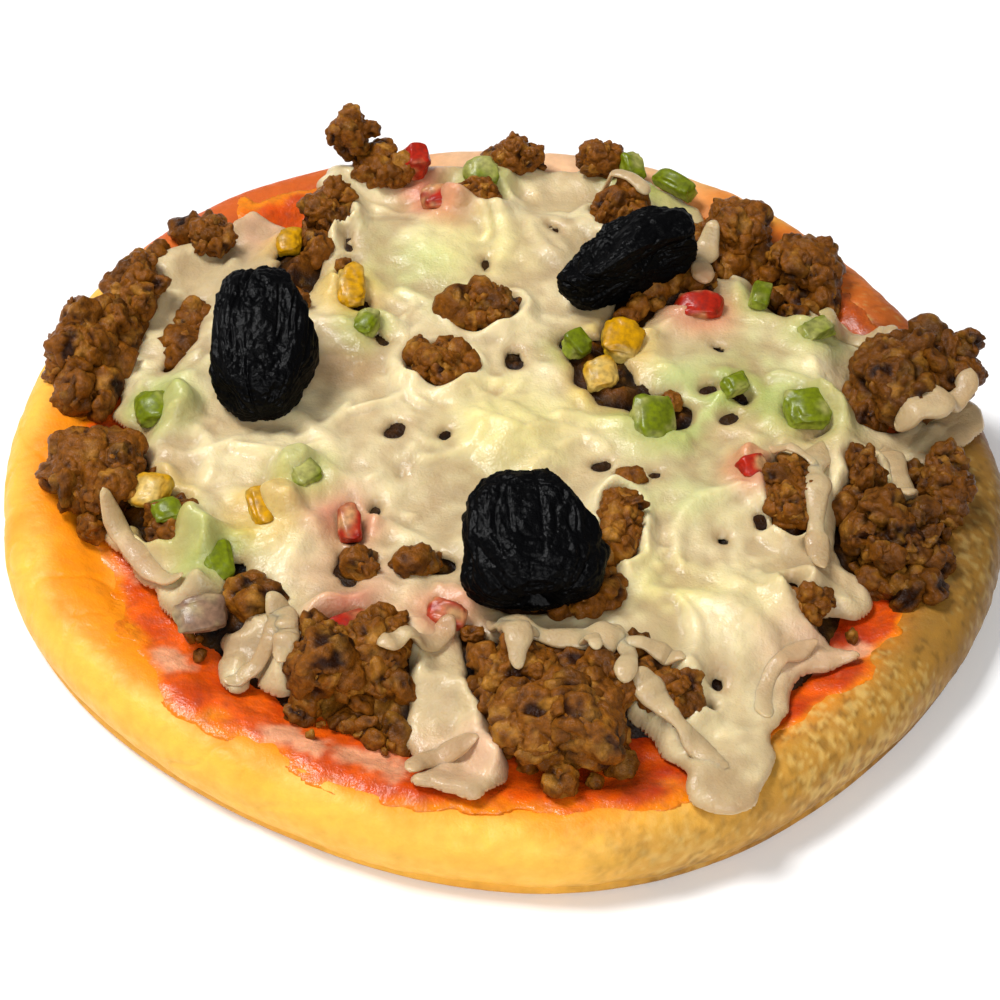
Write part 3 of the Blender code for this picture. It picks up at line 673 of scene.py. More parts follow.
def colour_of(name):
    return np.array(getattr(bpy.context.scene.pizza_colours, name))


def size_of(name):
    return getattr(bpy.context.scene.pizza_sizes, name) / MM


def add_piece(name, points, faces, finish, nodes, tone):
    """A mesh object at the origin from millimetre points, faces of one corner count and a colour for each point."""
    mark_top(points)
    mesh = bpy.data.meshes.new(name)
    count, corners = faces.shape
    mesh.vertices.add(len(points))
    mesh.vertices.foreach_set("co", (points * MM).astype(np.float32).ravel())
    mesh.loops.add(count * corners)
    mesh.loops.foreach_set("vertex_index", faces.astype(np.int32).ravel())
    mesh.polygons.add(count)
    mesh.polygons.foreach_set("loop_start", np.arange(0, count * corners, corners, dtype=np.int32))
    mesh.update(calc_edges=True)
    attribute = mesh.attributes.new("Tone", "FLOAT_COLOR", "POINT")
    rows = np.column_stack((np.clip(tone, 0.0, 1.0), np.ones(len(points))))
    attribute.data.foreach_set("color", rows.astype(np.float32).ravel())
    mesh.materials.append(bpy.data.materials[f"{finish}_food"])
    mesh.shade_smooth()
    piece = bpy.data.objects.new(name, mesh)
    bpy.context.scene.collection.objects.link(piece)
    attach(piece, "root")
    if nodes:
        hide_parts(*nodes)
    return piece


def joined(parts):
    """Several bodies of points, faces and tone as one."""
    points, faces, tones, start = [], [], [], 0
    for body, corners, tone in parts:
        points.append(body)
        faces.append(corners + start)
        tones.append(tone)
        start += len(body)
    return np.vstack(points), np.vstack(faces), np.vstack(tones)


def wrapped_rings(rings, steps):
    """Quads between rings of equal steps, each ring closed on itself."""
    k, i = np.meshgrid(np.arange(rings - 1), np.arange(steps), indexing="ij")
    j = (i + 1) % steps
    quads = np.stack((k * steps + i, k * steps + j, (k + 1) * steps + j, (k + 1) * steps + i), axis=-1)
    return quads.reshape(-1, 4)


def poles(rings, steps, first, last):
    """Triangles from two middle points to the first and last ring."""
    i = np.arange(steps)
    j = (i + 1) % steps
    top = (rings - 1) * steps
    low = np.column_stack((np.full(steps, first), j, i))
    high = np.column_stack((np.full(steps, last), top + i, top + j))
    return np.vstack((low, high))


def as_triangles(quads):
    return np.vstack((quads[:, [0, 1, 2]], quads[:, [0, 2, 3]]))


# The balls made so far by their fineness, and the highest point of the food in each cell of a grid seen from above,
# filled as pieces are added
BALLS = {}
TOP_REACH, TOP_CELL = 80.0, 0.6
TOP = np.zeros((int(2 * TOP_REACH / TOP_CELL),) * 2)


def ball(cuts):
    """A unit ball: an icosahedron with each edge cut in so many parts, its points pushed out to the ball."""
    if cuts in BALLS:
        return BALLS[cuts]
    g = (1.0 + math.sqrt(5.0)) / 2.0
    ring = [(-1, g, 0), (1, g, 0), (-1, -g, 0), (1, -g, 0)]
    ring += [(z, x, y) for x, y, z in ring] + [(y, z, x) for x, y, z in ring]
    tips = np.array(ring, float) / math.hypot(1.0, g)
    near = tips @ tips.T > 0.4
    trios = itertools.combinations(range(len(tips)), 3)
    trios = [(i, j, k) for i, j, k in trios if near[i, j] and near[i, k] and near[j, k]]
    a, b, c = (tips[[trio[k] for trio in trios]] for k in range(3))
    inward = (np.cross(b - a, c - a) * a).sum(axis=1) < 0
    b[inward], c[inward] = c[inward], b[inward].copy()
    i, j = (grid.ravel() for grid in np.meshgrid(np.arange(cuts + 1), np.arange(cuts + 1), indexing="ij"))
    share = np.column_stack((cuts - i - j, i, j)) / cuts
    points = (share @ np.stack((a, b, c), axis=1)).reshape(-1, 3)
    n = cuts + 1
    first = (i * n + j)[i + j < cuts]
    second = (i * n + j)[i + j < cuts - 1]
    faces = np.vstack((
        np.column_stack((first, first + n, first + 1)),
        np.column_stack((second + n, second + n + 1, second + 1)),
    ))
    faces = (faces[None] + (np.arange(len(trios)) * n * n)[:, None, None]).reshape(-1, 3)
    used, faces = np.unique(faces, return_inverse=True)
    points = points[used] / np.linalg.norm(points[used], axis=1)[:, None]
    _, kept, index = np.unique(np.round(points, 6), axis=0, return_index=True, return_inverse=True)
    BALLS[cuts] = points[kept], index.reshape(-1)[faces.reshape(-1, 3)]
    return BALLS[cuts]


def turned(points, turn):
    """Rows turned about X, Y and then Z by degrees."""
    spin = np.array(Euler([math.radians(angle) for angle in turn]).to_matrix())
    return points @ spin.T


def lattice_sheet(distance, spacing, reach):
    """A square lattice cut to an outline, its border drawn onto it: x, y, quads and how far inside each point is."""
    line = np.arange(-reach, reach + spacing / 2, spacing)
    x, y = (grid.ravel() for grid in np.meshgrid(line, line, indexing="ij"))
    away = distance(x, y)
    n = len(line)
    i, j = (grid.ravel() for grid in np.meshgrid(np.arange(n - 1), np.arange(n - 1), indexing="ij"))
    quads = np.column_stack((i * n + j, (i + 1) * n + j, (i + 1) * n + j + 1, i * n + j + 1))
    quads = quads[(away[quads] < 0.0).sum(axis=1) >= 2]
    used, index = np.unique(quads, return_inverse=True)
    quads = index.reshape(-1, 4)
    x, y, away = x[used], y[used], away[used]
    step = 0.05
    for _ in range(3):
        off = away > 0.0
        px, py = x[off], y[off]
        gx = (distance(px + step, py) - distance(px - step, py)) / (2 * step)
        gy = (distance(px, py + step) - distance(px, py - step)) / (2 * step)
        steep = np.maximum(gx * gx + gy * gy, 0.4)
        x[off] -= np.clip(away[off] * gx / steep, -0.4 * spacing, 0.4 * spacing)
        y[off] -= np.clip(away[off] * gy / steep, -0.4 * spacing, 0.4 * spacing)
        away[off] = np.maximum(distance(x[off], y[off]), 1e-6)
    return x, y, quads, np.maximum(-away, 0.0)


def closed_sheet(x, y, quads, top, under):
    """Top and underside of a sheet, joined round every border."""
    n = len(x)
    ends = np.concatenate([quads[:, [k, (k + 1) % 4]] for k in range(4)])
    keys = np.sort(ends, axis=1)
    _, first, count = np.unique(keys, axis=0, return_index=True, return_counts=True)
    border = ends[first[count == 1]]
    sides = np.column_stack((border[:, 1], border[:, 0], border[:, 0] + n, border[:, 1] + n))
    points = np.vstack((np.column_stack((x, y, top)), np.column_stack((x, y, under))))
    return points, np.vstack((quads, quads[:, ::-1] + n, sides))


def make_crust():
    """The section turned round the middle and moved in and out by noise that fades at the floor."""
    line = rim_line()[1:-1]
    rings, steps = len(line), CRUST_TURN_STEPS
    angle = np.arange(steps) * 2 * math.pi / steps
    slope = np.gradient(line, axis=0)
    slope[:, 0] *= CRUST_RADIUS
    out = np.column_stack((slope[:, 1], -slope[:, 0]))
    out /= np.maximum(np.linalg.norm(out, axis=1), 1e-9)[:, None]
    share, height = np.repeat(line[:, 0], steps), np.repeat(line[:, 1], steps)
    nr, nz = np.repeat(out[:, 0], steps), np.repeat(out[:, 1], steps)
    turn = np.tile(angle, rings)
    radius = share * np.tile(crust_edge(angle), rings)
    points = np.column_stack((radius * np.cos(turn), radius * np.sin(turn), height))
    right = ease(0.5 + 0.9 * np.cos(turn + 0.35))
    relief = 0.4 * noise(points, 16.0, 11) + 0.22 * noise(points, 6.0, 12) + 0.07 * noise(points, 2.2, 13)
    relief = relief + right * (0.10 * noise(points, 1.3, 14) + 0.05 * noise(points, 0.7, 15))
    crease = 1.0 - np.abs(noise(points * (1.0, 1.0, 0.5), 7.0, 16))
    relief = relief - 0.35 * ease((crease - 0.93) / 0.07) * (1.0 - right)
    relief = relief * ease(height / 1.5) * ease((share - 0.75) / 0.1)
    points[:, 0] += relief * nr * np.cos(turn)
    points[:, 1] += relief * nr * np.sin(turn)
    points[:, 2] = np.maximum(points[:, 2] + relief * nz, 0.0)
    points = np.vstack((points, (0.0, 0.0, 0.0), (0.0, 0.0, line[-1, 1])))
    caps = poles(rings, steps, len(points) - 2, len(points) - 1)
    faces = np.vstack((as_triangles(wrapped_rings(rings, steps)), caps))
    return add_piece("crust_baked", points, faces, "crust", ("crust",), crust_tone(points))


def crust_tone(points):
    """Pale on the left, toasted and floury on the right with painted shade there, stained at the back and by the sauce,
    browned underneath, and with painted shade darkening the right side further.
    """
    x, y, z = points.T
    angle, radius = np.arctan2(y, x), np.hypot(x, y)
    share = radius / crust_edge(angle)
    patchy = turbulence(points, 12.0, 17)
    # the darker right-hand colour is partly toasted crust and partly painted shade on the side turned from the light
    right = ease(1.9 * np.cos(angle + 0.3) - 0.65 + 0.35 * patchy)
    tone = mixed(colour_of("crust_pale"), colour_of("crust_toasted_and_shaded"), right)
    near_sauce = ease((0.985 - 0.05 * right - share + 0.05 * patchy) / 0.08) * ease((z - 6.0) / 2.0)
    tone = mixed(tone, colour_of("crust_oiled"), near_sauce * (1.0 - 0.35 * right))
    degrees = np.degrees(angle)
    left_back = ease(1.5 - np.abs(degrees - 128.0) / 20.0 + 0.3 * patchy)
    right_back = ease(1.5 - np.abs(degrees - 32.0) / 24.0 + 0.3 * patchy)
    middle_back = ease(1.4 - np.abs(degrees - 88.0) / 24.0)
    tone = mixed(tone, colour_of("crust_peach"), middle_back)
    tone = mixed(tone, colour_of("crust_back"), np.maximum(left_back, 0.8 * right_back))
    specks = ease((noise(points, 0.7, 18) + 0.4 * noise(points, 4.0, 19) - 0.1) / 0.6) * (0.12 + 0.88 * right)
    tone = tone * (1.0 - 0.35 * specks[:, None])
    flour = ease((noise(points, 0.7, 61) + 0.7 * noise(points, 7.0, 62) - 0.35) / 0.5) * right
    tone = mixed(tone, colour_of("crust_flour"), 0.5 * flour)
    baked = ease((2.5 - z) / 2.5) * (0.35 + 0.25 * noise(points, 9.0, 20))
    tone = tone * (1.0 - np.clip(baked, 0.0, 0.8)[:, None] * np.array((0.35, 0.55, 0.75)))
    # painted shade: the right side of the crust is darkened by up to half
    return tone * (1.0 - 0.5 * ease((np.cos(angle + 0.05) - 0.72 + 0.06 * patchy) / 0.28))[:, None]


def make_sauce():
    """A thin wet coat with a ragged edge, grainy on top, its underside sunk a little into the crust."""

    def outline(x, y):
        angle = np.arctan2(y, x)
        ragged = 1.8 * noise(plane(x, y), 6.0, 21) + 0.9 * noise(plane(x, y), 2.2, 22)
        past = np.hypot(x, y) - sauce_edge(angle) + ragged
        return np.maximum(past, SAUCE_INNER_EDGE - np.hypot(x, y))

    x, y, quads, inside = lattice_sheet(outline, SAUCE_CELL, SAUCE_LATTICE)
    grain = 0.3 * noise(plane(x, y), 3.0, 23) + 0.18 * grains(plane(x, y), 1.5, 24)
    top = crust_top(x, y) + 0.05 + (0.85 + grain) * ease(inside / 5.0) ** 0.7
    under = crust_top(x, y) - SAUCE_SUNK
    points, faces = closed_sheet(x, y, quads, top, under)
    deep = 0.55 + 0.6 * noise(points, 4.0, 25) + 0.3 * points[:, 0] / SAUCE_REACH
    deep = deep * np.tile(ease(0.15 + inside / 4.0), 2)
    tone = mixed(colour_of("sauce_bright"), colour_of("sauce_deep"), deep)
    oiled = ease(1.0 - np.tile(inside, 2) / 2.6 + 0.3 * noise(points, 5.0, 66))
    tone = mixed(tone, colour_of("crust_oiled"), 0.8 * oiled)
    angle = np.degrees(np.arctan2(points[:, 1], points[:, 0]))
    browned = ease(1.5 - np.abs(angle - 25.0) / 28.0 + 0.4 * noise(points, 6.0, 65))
    tone = mixed(tone, 0.7 * colour_of("crust_back"), 0.85 * browned)
    for x0, y0, x1, y1, radius in SAUCE_SMEARS:
        away = run_distance(points[:, 0], points[:, 1], (x0, y0, x1, y1, radius, radius))
        share = ease((0.5 - away + 2.0 * noise(points, 3.0, 63) + noise(points, 1.2, 64)) / 2.5)
        tone = mixed(tone, colour_of("sauce_smear"), 0.8 * share)
    return add_piece("tomato_sauce_coat", points, faces, "tomato_sauce", ("tomato_sauce",), tone)


def meat_tone(points, height, seed):
    """Painted shade dark in the creases and pits, brown on the grains, with lighter fatty and darker seared patches,
    and painted shade darker towards the right.
    """
    # painted shade: the crease colour where the brightness is low, the browned colour on the grain tops
    tone = mixed(colour_of("meat_crease_shade"), colour_of("meat_brown"), ease(height * 1.15))
    pale = ease((noise(points, 2.6, seed) + 0.6 * noise(points, 1.0, seed + 1) - 0.05) / 0.9)
    tone = mixed(tone, colour_of("meat_pale"), 0.8 * pale)
    seared = ease((noise(points, 5.0, seed + 2) - 0.1) / 0.7)
    # painted shade: the meat is darkened towards the right, the side turned from the light
    darker = ease((points[:, 0] - 38.0) / 20.0)
    return tone * (1.0 - 0.45 * seared[:, None]) * (1.0 - 0.3 * darker[:, None])


def make_bed():
    """Crumbled meat as a level heap of packed grains, kept low where the cheese lies on it, and painted dark with shade
    under the cheese and round the edges of its holes.
    """

    def outline(x, y):
        ragged = 1.2 * noise(plane(x, y), 4.0, 26)
        return np.hypot(x, y) - bed_edge(np.arctan2(y, x)) - 1.0 + ragged

    x, y, quads, inside = lattice_sheet(outline, BED_CELL, BED_LATTICE)
    grain = size_of("meat_grain")
    at = plane(x, y)
    # height is the painted shade of the grains, low in the pits and creases
    height, relief = crumbled(at, grain, 27)
    open_air = ease((cheese_distance(x, y) - 0.5) / 2.5)
    relief = 1.4 * noise(at, 7.0, 29) + 0.9 * noise(at, 3.0, 28) + 0.9 * relief
    top = bed_top(x, y) + relief * (0.35 + 0.65 * open_air) + 1.4 * open_air * ease(inside / 6.0)
    edge = np.sqrt(np.clip(inside / 2.0, 0.0, 1.0))
    base = sauce_top(x, y) - 0.5
    top = base + (top - base) * edge
    under = np.minimum(base - 0.3, top - 0.1)
    points, faces = closed_sheet(x, y, quads, top, under)
    # painted shade: under the cheese and at the edges of its holes the meat is darkened to 0.12 of its colour
    tone = meat_tone(points, np.tile(height, 2), 30) * (0.12 + 0.88 * np.tile(open_air, 2))[:, None]
    return add_piece("minced_meat_heap", points, faces, "minced_meat", ("minced_meat_bed",), tone)


def lump(centre, size, turn, cuts, seed, grain, depth):
    """One knob of meat: an uneven ball with packed grains of two sizes, ridges and pits."""
    way, faces = ball(cuts)
    at = way + 3.7 * (seed % 97)
    body = way * (1.0 + 0.26 * noise(at, 0.9, seed) + 0.18 * noise(at, 0.4, seed + 2))[:, None]
    out = turned(way / np.array(size), turn)
    out /= np.linalg.norm(out, axis=1)[:, None]
    points = turned(body * np.array(size) / 2.0, turn) + np.array(centre)
    # height is the painted shade of the grains, low in the pits and creases
    height, relief = crumbled(points, grain, seed)
    return points + out * (depth * relief)[:, None], faces, meat_tone(points, height, seed + 9)


def crumbled(points, grain, seed):
    """Brightness and relief of crumbled meat: packed grains of two sizes, thin ridges, and pits between them. The
    brightness is painted shade, low in the pits and creases.
    """
    coarse, fine = grains(points, grain, seed), grains(points, 0.45 * grain, seed + 5)
    ridge = 1.0 - np.abs(noise(points, 0.8 * grain, seed + 3))
    pit = ease((noise(points, 1.7 * grain, seed + 6) + 0.4 * noise(points, 0.7 * grain, seed + 7) - 0.2) / 0.5)
    relief = (coarse - 0.6) + 0.55 * (fine - 0.5) + 0.5 * (ridge - 0.6) - 1.5 * pit
    # the first value is painted shade: dark in the pits and between the grains, bright on the grain tops
    return 0.45 * coarse + 0.4 * fine + 0.35 * ridge - 0.85 * pit, relief


def make_clump(index, crumbs):
    """A clump: each crumb is a core with smaller knobs grown on its upper side."""
    grain = size_of("meat_grain")
    parts = []
    for k, (x, y, z, sx, sy, sz, turn) in enumerate(crumbs):
        seed = 200 + 20 * index + 7 * k
        draw = np.random.default_rng(SEED + seed)
        mean = (sx * sy * sz) ** (1 / 3)
        core = np.array((sx, sy, sz)) * (CORE_SHARE_IN_CHEESE if math.hypot(x, y) < COLLAR_REACH else CORE_SHARE)
        cuts = LARGE_CORE_CUTS if mean > LARGE_CORE else CORE_CUTS
        parts.append(lump((x, y, z), core, (0, 0, turn), cuts, seed, grain, 0.36 * grain))
        for knob in range(int(6 + 0.9 * mean)):
            way = draw.normal(size=3)
            way[2] = abs(way[2]) * 0.8 - 0.1
            way /= np.linalg.norm(way)
            centre = turned((way * core * 0.42)[None, :], (0, 0, turn))[0] + (x, y, z)
            size = mean * draw.uniform(0.24, 0.46) * draw.uniform(0.6, 1.6, 3)
            turns = draw.uniform(0, 360, 3)
            parts.append(lump(centre, size, turns, KNOB_CUTS, seed + 3 + knob, 0.8 * grain, 0.3 * grain))
    points, faces, tone = joined(parts)
    node = f"minced_meat_{index + 1:02d}"
    return add_piece(f"{node}_clump", points, faces, "minced_meat", (node,), tone)


def make_cheese():
    """The sheet on a fine lattice: rounded edges, shreds and lumps on top, its underside following the meat."""
    x, y, quads, inside = lattice_sheet(cheese_distance, CHEESE_CELL, CHEESE_LATTICE)
    thick = cheese_thickness(x, y, inside, size_of("cheese_thickness"))
    under = cheese_under(x, y) - CHEESE_SUNK
    points, faces = closed_sheet(x, y, quads, under + thick, under)
    tone = cheese_tone(x, y, thick)
    return add_piece("cheese_melted", points, faces, "cheese", ("cheese",), np.vstack((tone, tone)))


def mark_top(points):
    """Keeps the highest point of each grid cell, for the strings that are laid over the food later."""
    cell = np.clip(((points[:, :2] + TOP_REACH) / TOP_CELL).astype(int), 0, len(TOP) - 1)
    np.maximum.at(TOP, (cell[:, 0], cell[:, 1]), points[:, 2])


def food_top(x, y):
    """Height of the highest point in the grid cells round each place."""
    i, j = (np.clip(((line + TOP_REACH) / TOP_CELL).astype(int), 1, len(TOP) - 2) for line in (x, y))
    return np.max([TOP[i + di, j + dj] for di in (-1, 0, 1) for dj in (-1, 0, 1)], axis=0)


def rope(x0, y0, x1, y1, bow, radius, seed):
    """A bent string laid over the food: rings along a bowed line, its height evened out, thinner at places and ends."""
    t = np.linspace(0.0, 1.0, ROPE_STEPS)
    length = math.hypot(x1 - x0, y1 - y0)
    side = bow * 4.0 * t * (1.0 - t) + 0.5 * noise(plane(t * length, 0 * t, seed), 4.0, seed)
    x = x0 + (x1 - x0) * t - (y1 - y0) / length * side
    y = y0 + (y1 - y0) * t + (x1 - x0) / length * side
    lowest = food_top(x, y)
    z = lowest
    for _ in range(ROPE_PASSES):
        padded = np.concatenate((z[:1], z, z[-1:]))
        z = np.maximum(lowest, 0.25 * padded[:-2] + 0.5 * z + 0.25 * padded[2:])
    size = 0.85 * radius * (1.0 + 0.5 * noise(plane(t * length, 0 * t, seed + 5), 3.0, seed))
    size = size * np.sqrt(np.clip(np.minimum(t, 1.0 - t) * 8.0, 0.0, 1.0)) + 0.02
    on_sheet = ease(-cheese_distance(x, y) / 1.5)
    line = np.column_stack((x, y, z + size * (0.15 - 0.55 * on_sheet)))
    ahead = np.gradient(line, axis=0)
    across = np.column_stack((-ahead[:, 1], ahead[:, 0], np.zeros(ROPE_STEPS)))
    across /= np.linalg.norm(across, axis=1)[:, None]
    up = np.cross(ahead, across)
    up /= np.linalg.norm(up, axis=1)[:, None]
    turn = (np.arange(ROPE_SIDES) * 2.0 * math.pi / ROPE_SIDES)[None, :, None]
    ring = np.cos(turn) * across[:, None, :] + ROPE_FLATNESS * np.sin(turn) * up[:, None, :]
    points = (line[:, None, :] + size[:, None, None] * ring).reshape(-1, 3)
    points = np.vstack((points, line[0], line[-1]))
    body = as_triangles(wrapped_rings(ROPE_STEPS, ROPE_SIDES)[:, ::-1])
    caps = poles(ROPE_STEPS, ROPE_SIDES, len(points) - 2, len(points) - 1)[:, ::-1]
    tone = cheese_tone(points[:, 0], points[:, 1], np.full(len(points), 0.8))
    return points, np.vstack((body, caps)), tone


def make_ropes():
    """The strings of cheese as one body of bent tubes."""
    points, faces, tone = joined([rope(*ends, 1300 + 11 * k) for k, ends in enumerate(CHEESE_ROPES)])
    return add_piece("cheese_ropes", points, faces, "cheese", (), tone)


def cheese_tone(x, y, thick):
    """Cream with stains from what lies below, darker where it is thin."""
    tone = np.tile(colour_of("cheese_cream"), (len(x), 1))
    ragged = 2.5 * noise(plane(x, y), 6.0, 51)
    for sx, sy, radius, kind, strength in CHEESE_STAINS:
        share = strength * ease(1.3 - (np.hypot(x - sx, y - sy) + ragged) / radius)
        tone = mixed(tone, colour_of(f"cheese_{kind}"), share)
    for finish, (px, py, _), (sx, sy, _), _ in DICE_PIECES:
        reach = 0.35 * (sx + sy) + 2.0
        share = 0.55 * ease(1.5 - (np.hypot(x - px, y - py) + 0.4 * ragged) / reach)
        tone = mixed(tone, colour_of(f"{finish}_flesh"), share)
    cloudy = ease((noise(plane(x, y), 7.0, 52) + 0.5 * noise(plane(x, y), 3.0, 53)) / 0.9)
    tone = mixed(tone, colour_of("cheese_thin"), 0.25 * cloudy)
    thin = ease((2.1 - thick + 0.4 * noise(plane(x, y), 2.0, 55)) / 1.5)
    tone = mixed(tone, colour_of("cheese_thin"), 0.75 * thin)
    pale = ease((noise(plane(x, y), 1.4, 54) - 0.35) / 0.4) * ease((thick - 1.8) / 1.0)
    return tone * (1.0 + 0.1 * pale[:, None])


def make_olive(node, centre, size, turn, cuts, notches, seed):
    """A worn barrel cut flat where it was torn, with lengthwise wrinkles: broad folds with narrow valleys and grit."""
    way, faces = ball(OLIVE_CUTS)
    full = np.sign(way) * np.abs(way) ** 0.85
    body = full * (1.0 - 0.12 * np.abs(way[:, 1:2]) ** 3)
    for nx, ny, nz, reach in cuts:
        face = np.array((nx, ny, nz)) / math.sqrt(nx * nx + ny * ny + nz * nz)
        past = body @ face - reach - 0.05 * noise(way, 0.3, seed + 6)
        body = body - np.maximum(past, 0.0)[:, None] * 0.9 * face
    angle = np.arctan2(way[:, 2], way[:, 0])
    girth = np.column_stack((np.cos(angle), 0.55 * way[:, 1], np.sin(angle)))
    broad = 1.0 - np.abs(noise(girth, 0.42, seed))
    fine = 1.0 - np.abs(noise(girth, 0.17, seed + 1))
    grit = noise(way, 0.09, seed + 2) + 0.7 * noise(way, 0.045, seed + 5)
    depth = size_of("olive_wrinkle")
    sunk = depth * (ease((broad - 0.75) / 0.25) + 0.6 * ease((fine - 0.7) / 0.3)) - 0.16 * grit
    uneven = 0.06 * noise(way, 0.9, seed + 3) + 0.03 * noise(way, 0.3, seed + 7)
    out = way / np.array(size)
    out /= np.linalg.norm(out, axis=1)[:, None]
    points = body * (1.0 + uneven)[:, None] * np.array(size) / 2.0 - out * sunk[:, None]
    for nx, ny, nz, width, deep in notches:
        aim = np.array((nx, ny, nz)) / math.sqrt(nx * nx + ny * ny + nz * nz)
        near = ease(1.0 - np.linalg.norm(way - aim + 0.06 * noise(way, 0.2, seed + 8)[:, None], axis=1) / width)
        points = points - aim * (deep * near)[:, None]
    points = turned(points, turn) + np.array(centre)
    tone = mixed(colour_of("olive_skin"), colour_of("olive_worn"), 0.5 * ease(noise(way, 0.3, seed + 4)))
    return add_piece(f"{node}_wrinkled", points, faces, "olive", (node,), tone)


def make_dice(finish, index, centre, size, turn, seed):
    """A block with worn, slightly bulging faces: a ball pushed towards a cube, bent and made uneven."""
    way, faces = ball(DICE_CUTS)
    block = np.sign(way) * np.abs(way) ** 0.6
    at = way + seed
    uneven = 1.0 + 0.22 * noise(at, 0.8, seed) + 0.1 * noise(at, 0.35, seed + 1) + 0.03 * noise(at, 0.15, seed)
    points = block * uneven[:, None] * np.array(size) / 2.0 * DICE_SHARE
    points[:, 2] -= 0.05 * (points[:, 0] ** 2 - 0.25 * size[0] ** 2 / 3)
    points = turned(points, turn) + np.array(centre) - (0.0, 0.0, DICE_SUNK)
    skin = ease((way[:, 2] + 0.1) / 0.5)
    tone = mixed(colour_of(f"{finish}_flesh"), colour_of(f"{finish}_skin"), skin)
    tone = tone * (1.0 - 0.25 * ease(noise(points, 2.0, seed + 6)))[:, None]
    film = ease((noise(points, 3.2, seed + 8) + 0.4 * noise(points, 1.2, seed + 9) + 0.2) / 1.0)
    tone = mixed(tone, colour_of("cheese_rich"), DICE_FILM * film)
    node = f"{finish}_{index + 1:02d}"
    return add_piece(f"{node}_dice", points, faces, finish, (node,), tone)


def near_dice(x, y):
    """Whether a place lies on or close by a piece of pepper or onion."""
    away = [math.hypot(x - px, y - py) - 0.3 * (sx + sy) for _, (px, py, _), (sx, sy, _), _ in DICE_PIECES]
    return min(away) < DICE_ROOM


def at_place(measure, x, y):
    """What a function of x and y gives at one place."""
    return float(measure(np.array([x]), np.array([y]))[0])


def crumb_size(draw, least, most):
    """A seeded crumb's width, depth and height."""
    return draw.uniform(least, most) * draw.uniform(0.7, 1.3, 3)


def make_heap_crumbs():
    """Crumbs on the heap wherever the cheese leaves it open and round the foot of the clumps, at seeded places."""
    draw = np.random.default_rng(SEED + 95)
    parts = []
    while len(parts) < HEAP_CRUMBS:
        x, y = draw.uniform(-60, 60, 2)
        past = math.hypot(x, y) > bed_edge(np.arctan2(y, x)) - 1.0
        if past or at_place(cheese_distance, x, y) < 0.3 or near_dice(x, y):
            continue
        size = crumb_size(draw, 2.4, 6.2)
        centre = (x, y, at_place(bed_top, x, y) + 0.6 + 0.1 * size[2])
        parts.append(lump(centre, size, draw.uniform(0, 360, 3), CRUMB_CUTS, 1200 + len(parts), 1.7, 0.6))
    for cx, cy, _, sx, sy, _, _ in MEAT_CRUMBS:
        for _ in range(SKIRT_CRUMBS):
            way = draw.uniform(0, 2 * math.pi)
            x, y = cx + 0.46 * sx * math.cos(way), cy + 0.5 * sy * math.sin(way)
            if at_place(cheese_distance, x, y) < 0.8 or math.hypot(x, y) > SKIRT_REACH or near_dice(x, y):
                continue
            size = crumb_size(draw, 2.4, 5.4)
            centre = (x, y, at_place(bed_top, x, y) + 0.3 * size[2])
            parts.append(lump(centre, size, draw.uniform(0, 360, 3), CRUMB_CUTS, 2300 + len(parts), 1.7, 0.5))
    points, faces, tone = joined(parts)
    return add_piece("heap_crumbs", points, faces, "minced_meat", (), tone)


def make_loose_crumbs():
    """Loose grains of meat on the sauce and round the heap's edge, at seeded places."""
    draw = np.random.default_rng(SEED + 90)
    parts = []
    while len(parts) < LOOSE_CRUMBS:
        angle, out = draw.uniform(0, 2 * math.pi), abs(draw.normal()) * 2.0
        radius = bed_edge(angle) - 0.5 + out
        x, y = radius * math.cos(angle), radius * math.sin(angle)
        if at_place(cheese_distance, x, y) < 1.5:
            continue
        size = crumb_size(draw, 0.8, 2.2)
        centre = (x, y, max(at_place(sauce_top, x, y), at_place(bed_top, x, y) - 0.8) + 0.25 * size[2])
        parts.append(lump(centre, size, draw.uniform(0, 360, 3), GRAIN_CUTS, 900 + len(parts), 1.2, 0.25))
    for start, end, near, far, count in RIM_CRUMBS:
        for _ in range(count):
            angle, radius = math.radians(draw.uniform(start, end)), draw.uniform(near, far)
            x, y = radius * math.cos(angle), radius * math.sin(angle)
            size = crumb_size(draw, 2.6, 6.0)
            if at_place(cheese_distance, x, y) < 0.5:
                continue
            centre = (x, y, at_place(sauce_top, x, y) - 0.6 + 0.3 * size[2])
            parts.append(lump(centre, size, draw.uniform(0, 360, 3), CRUMB_CUTS, 1000 + len(parts), 1.7, 0.5))
    points, faces, tone = joined(parts)
    return add_piece("loose_crumbs", points, faces, "minced_meat", (), tone)


def link(tree, start, end):
    tree.links.new(start, end)


def new_node(tree, kind, **values):
    """A shader node with its plain settings, and its inputs given as pairs in inputs."""
    node = tree.nodes.new(kind)
    for key, value in values.pop("inputs", {}).items():
        node.inputs[key].default_value = value
    for key, value in values.items():
        setattr(node, key, value)
    return node


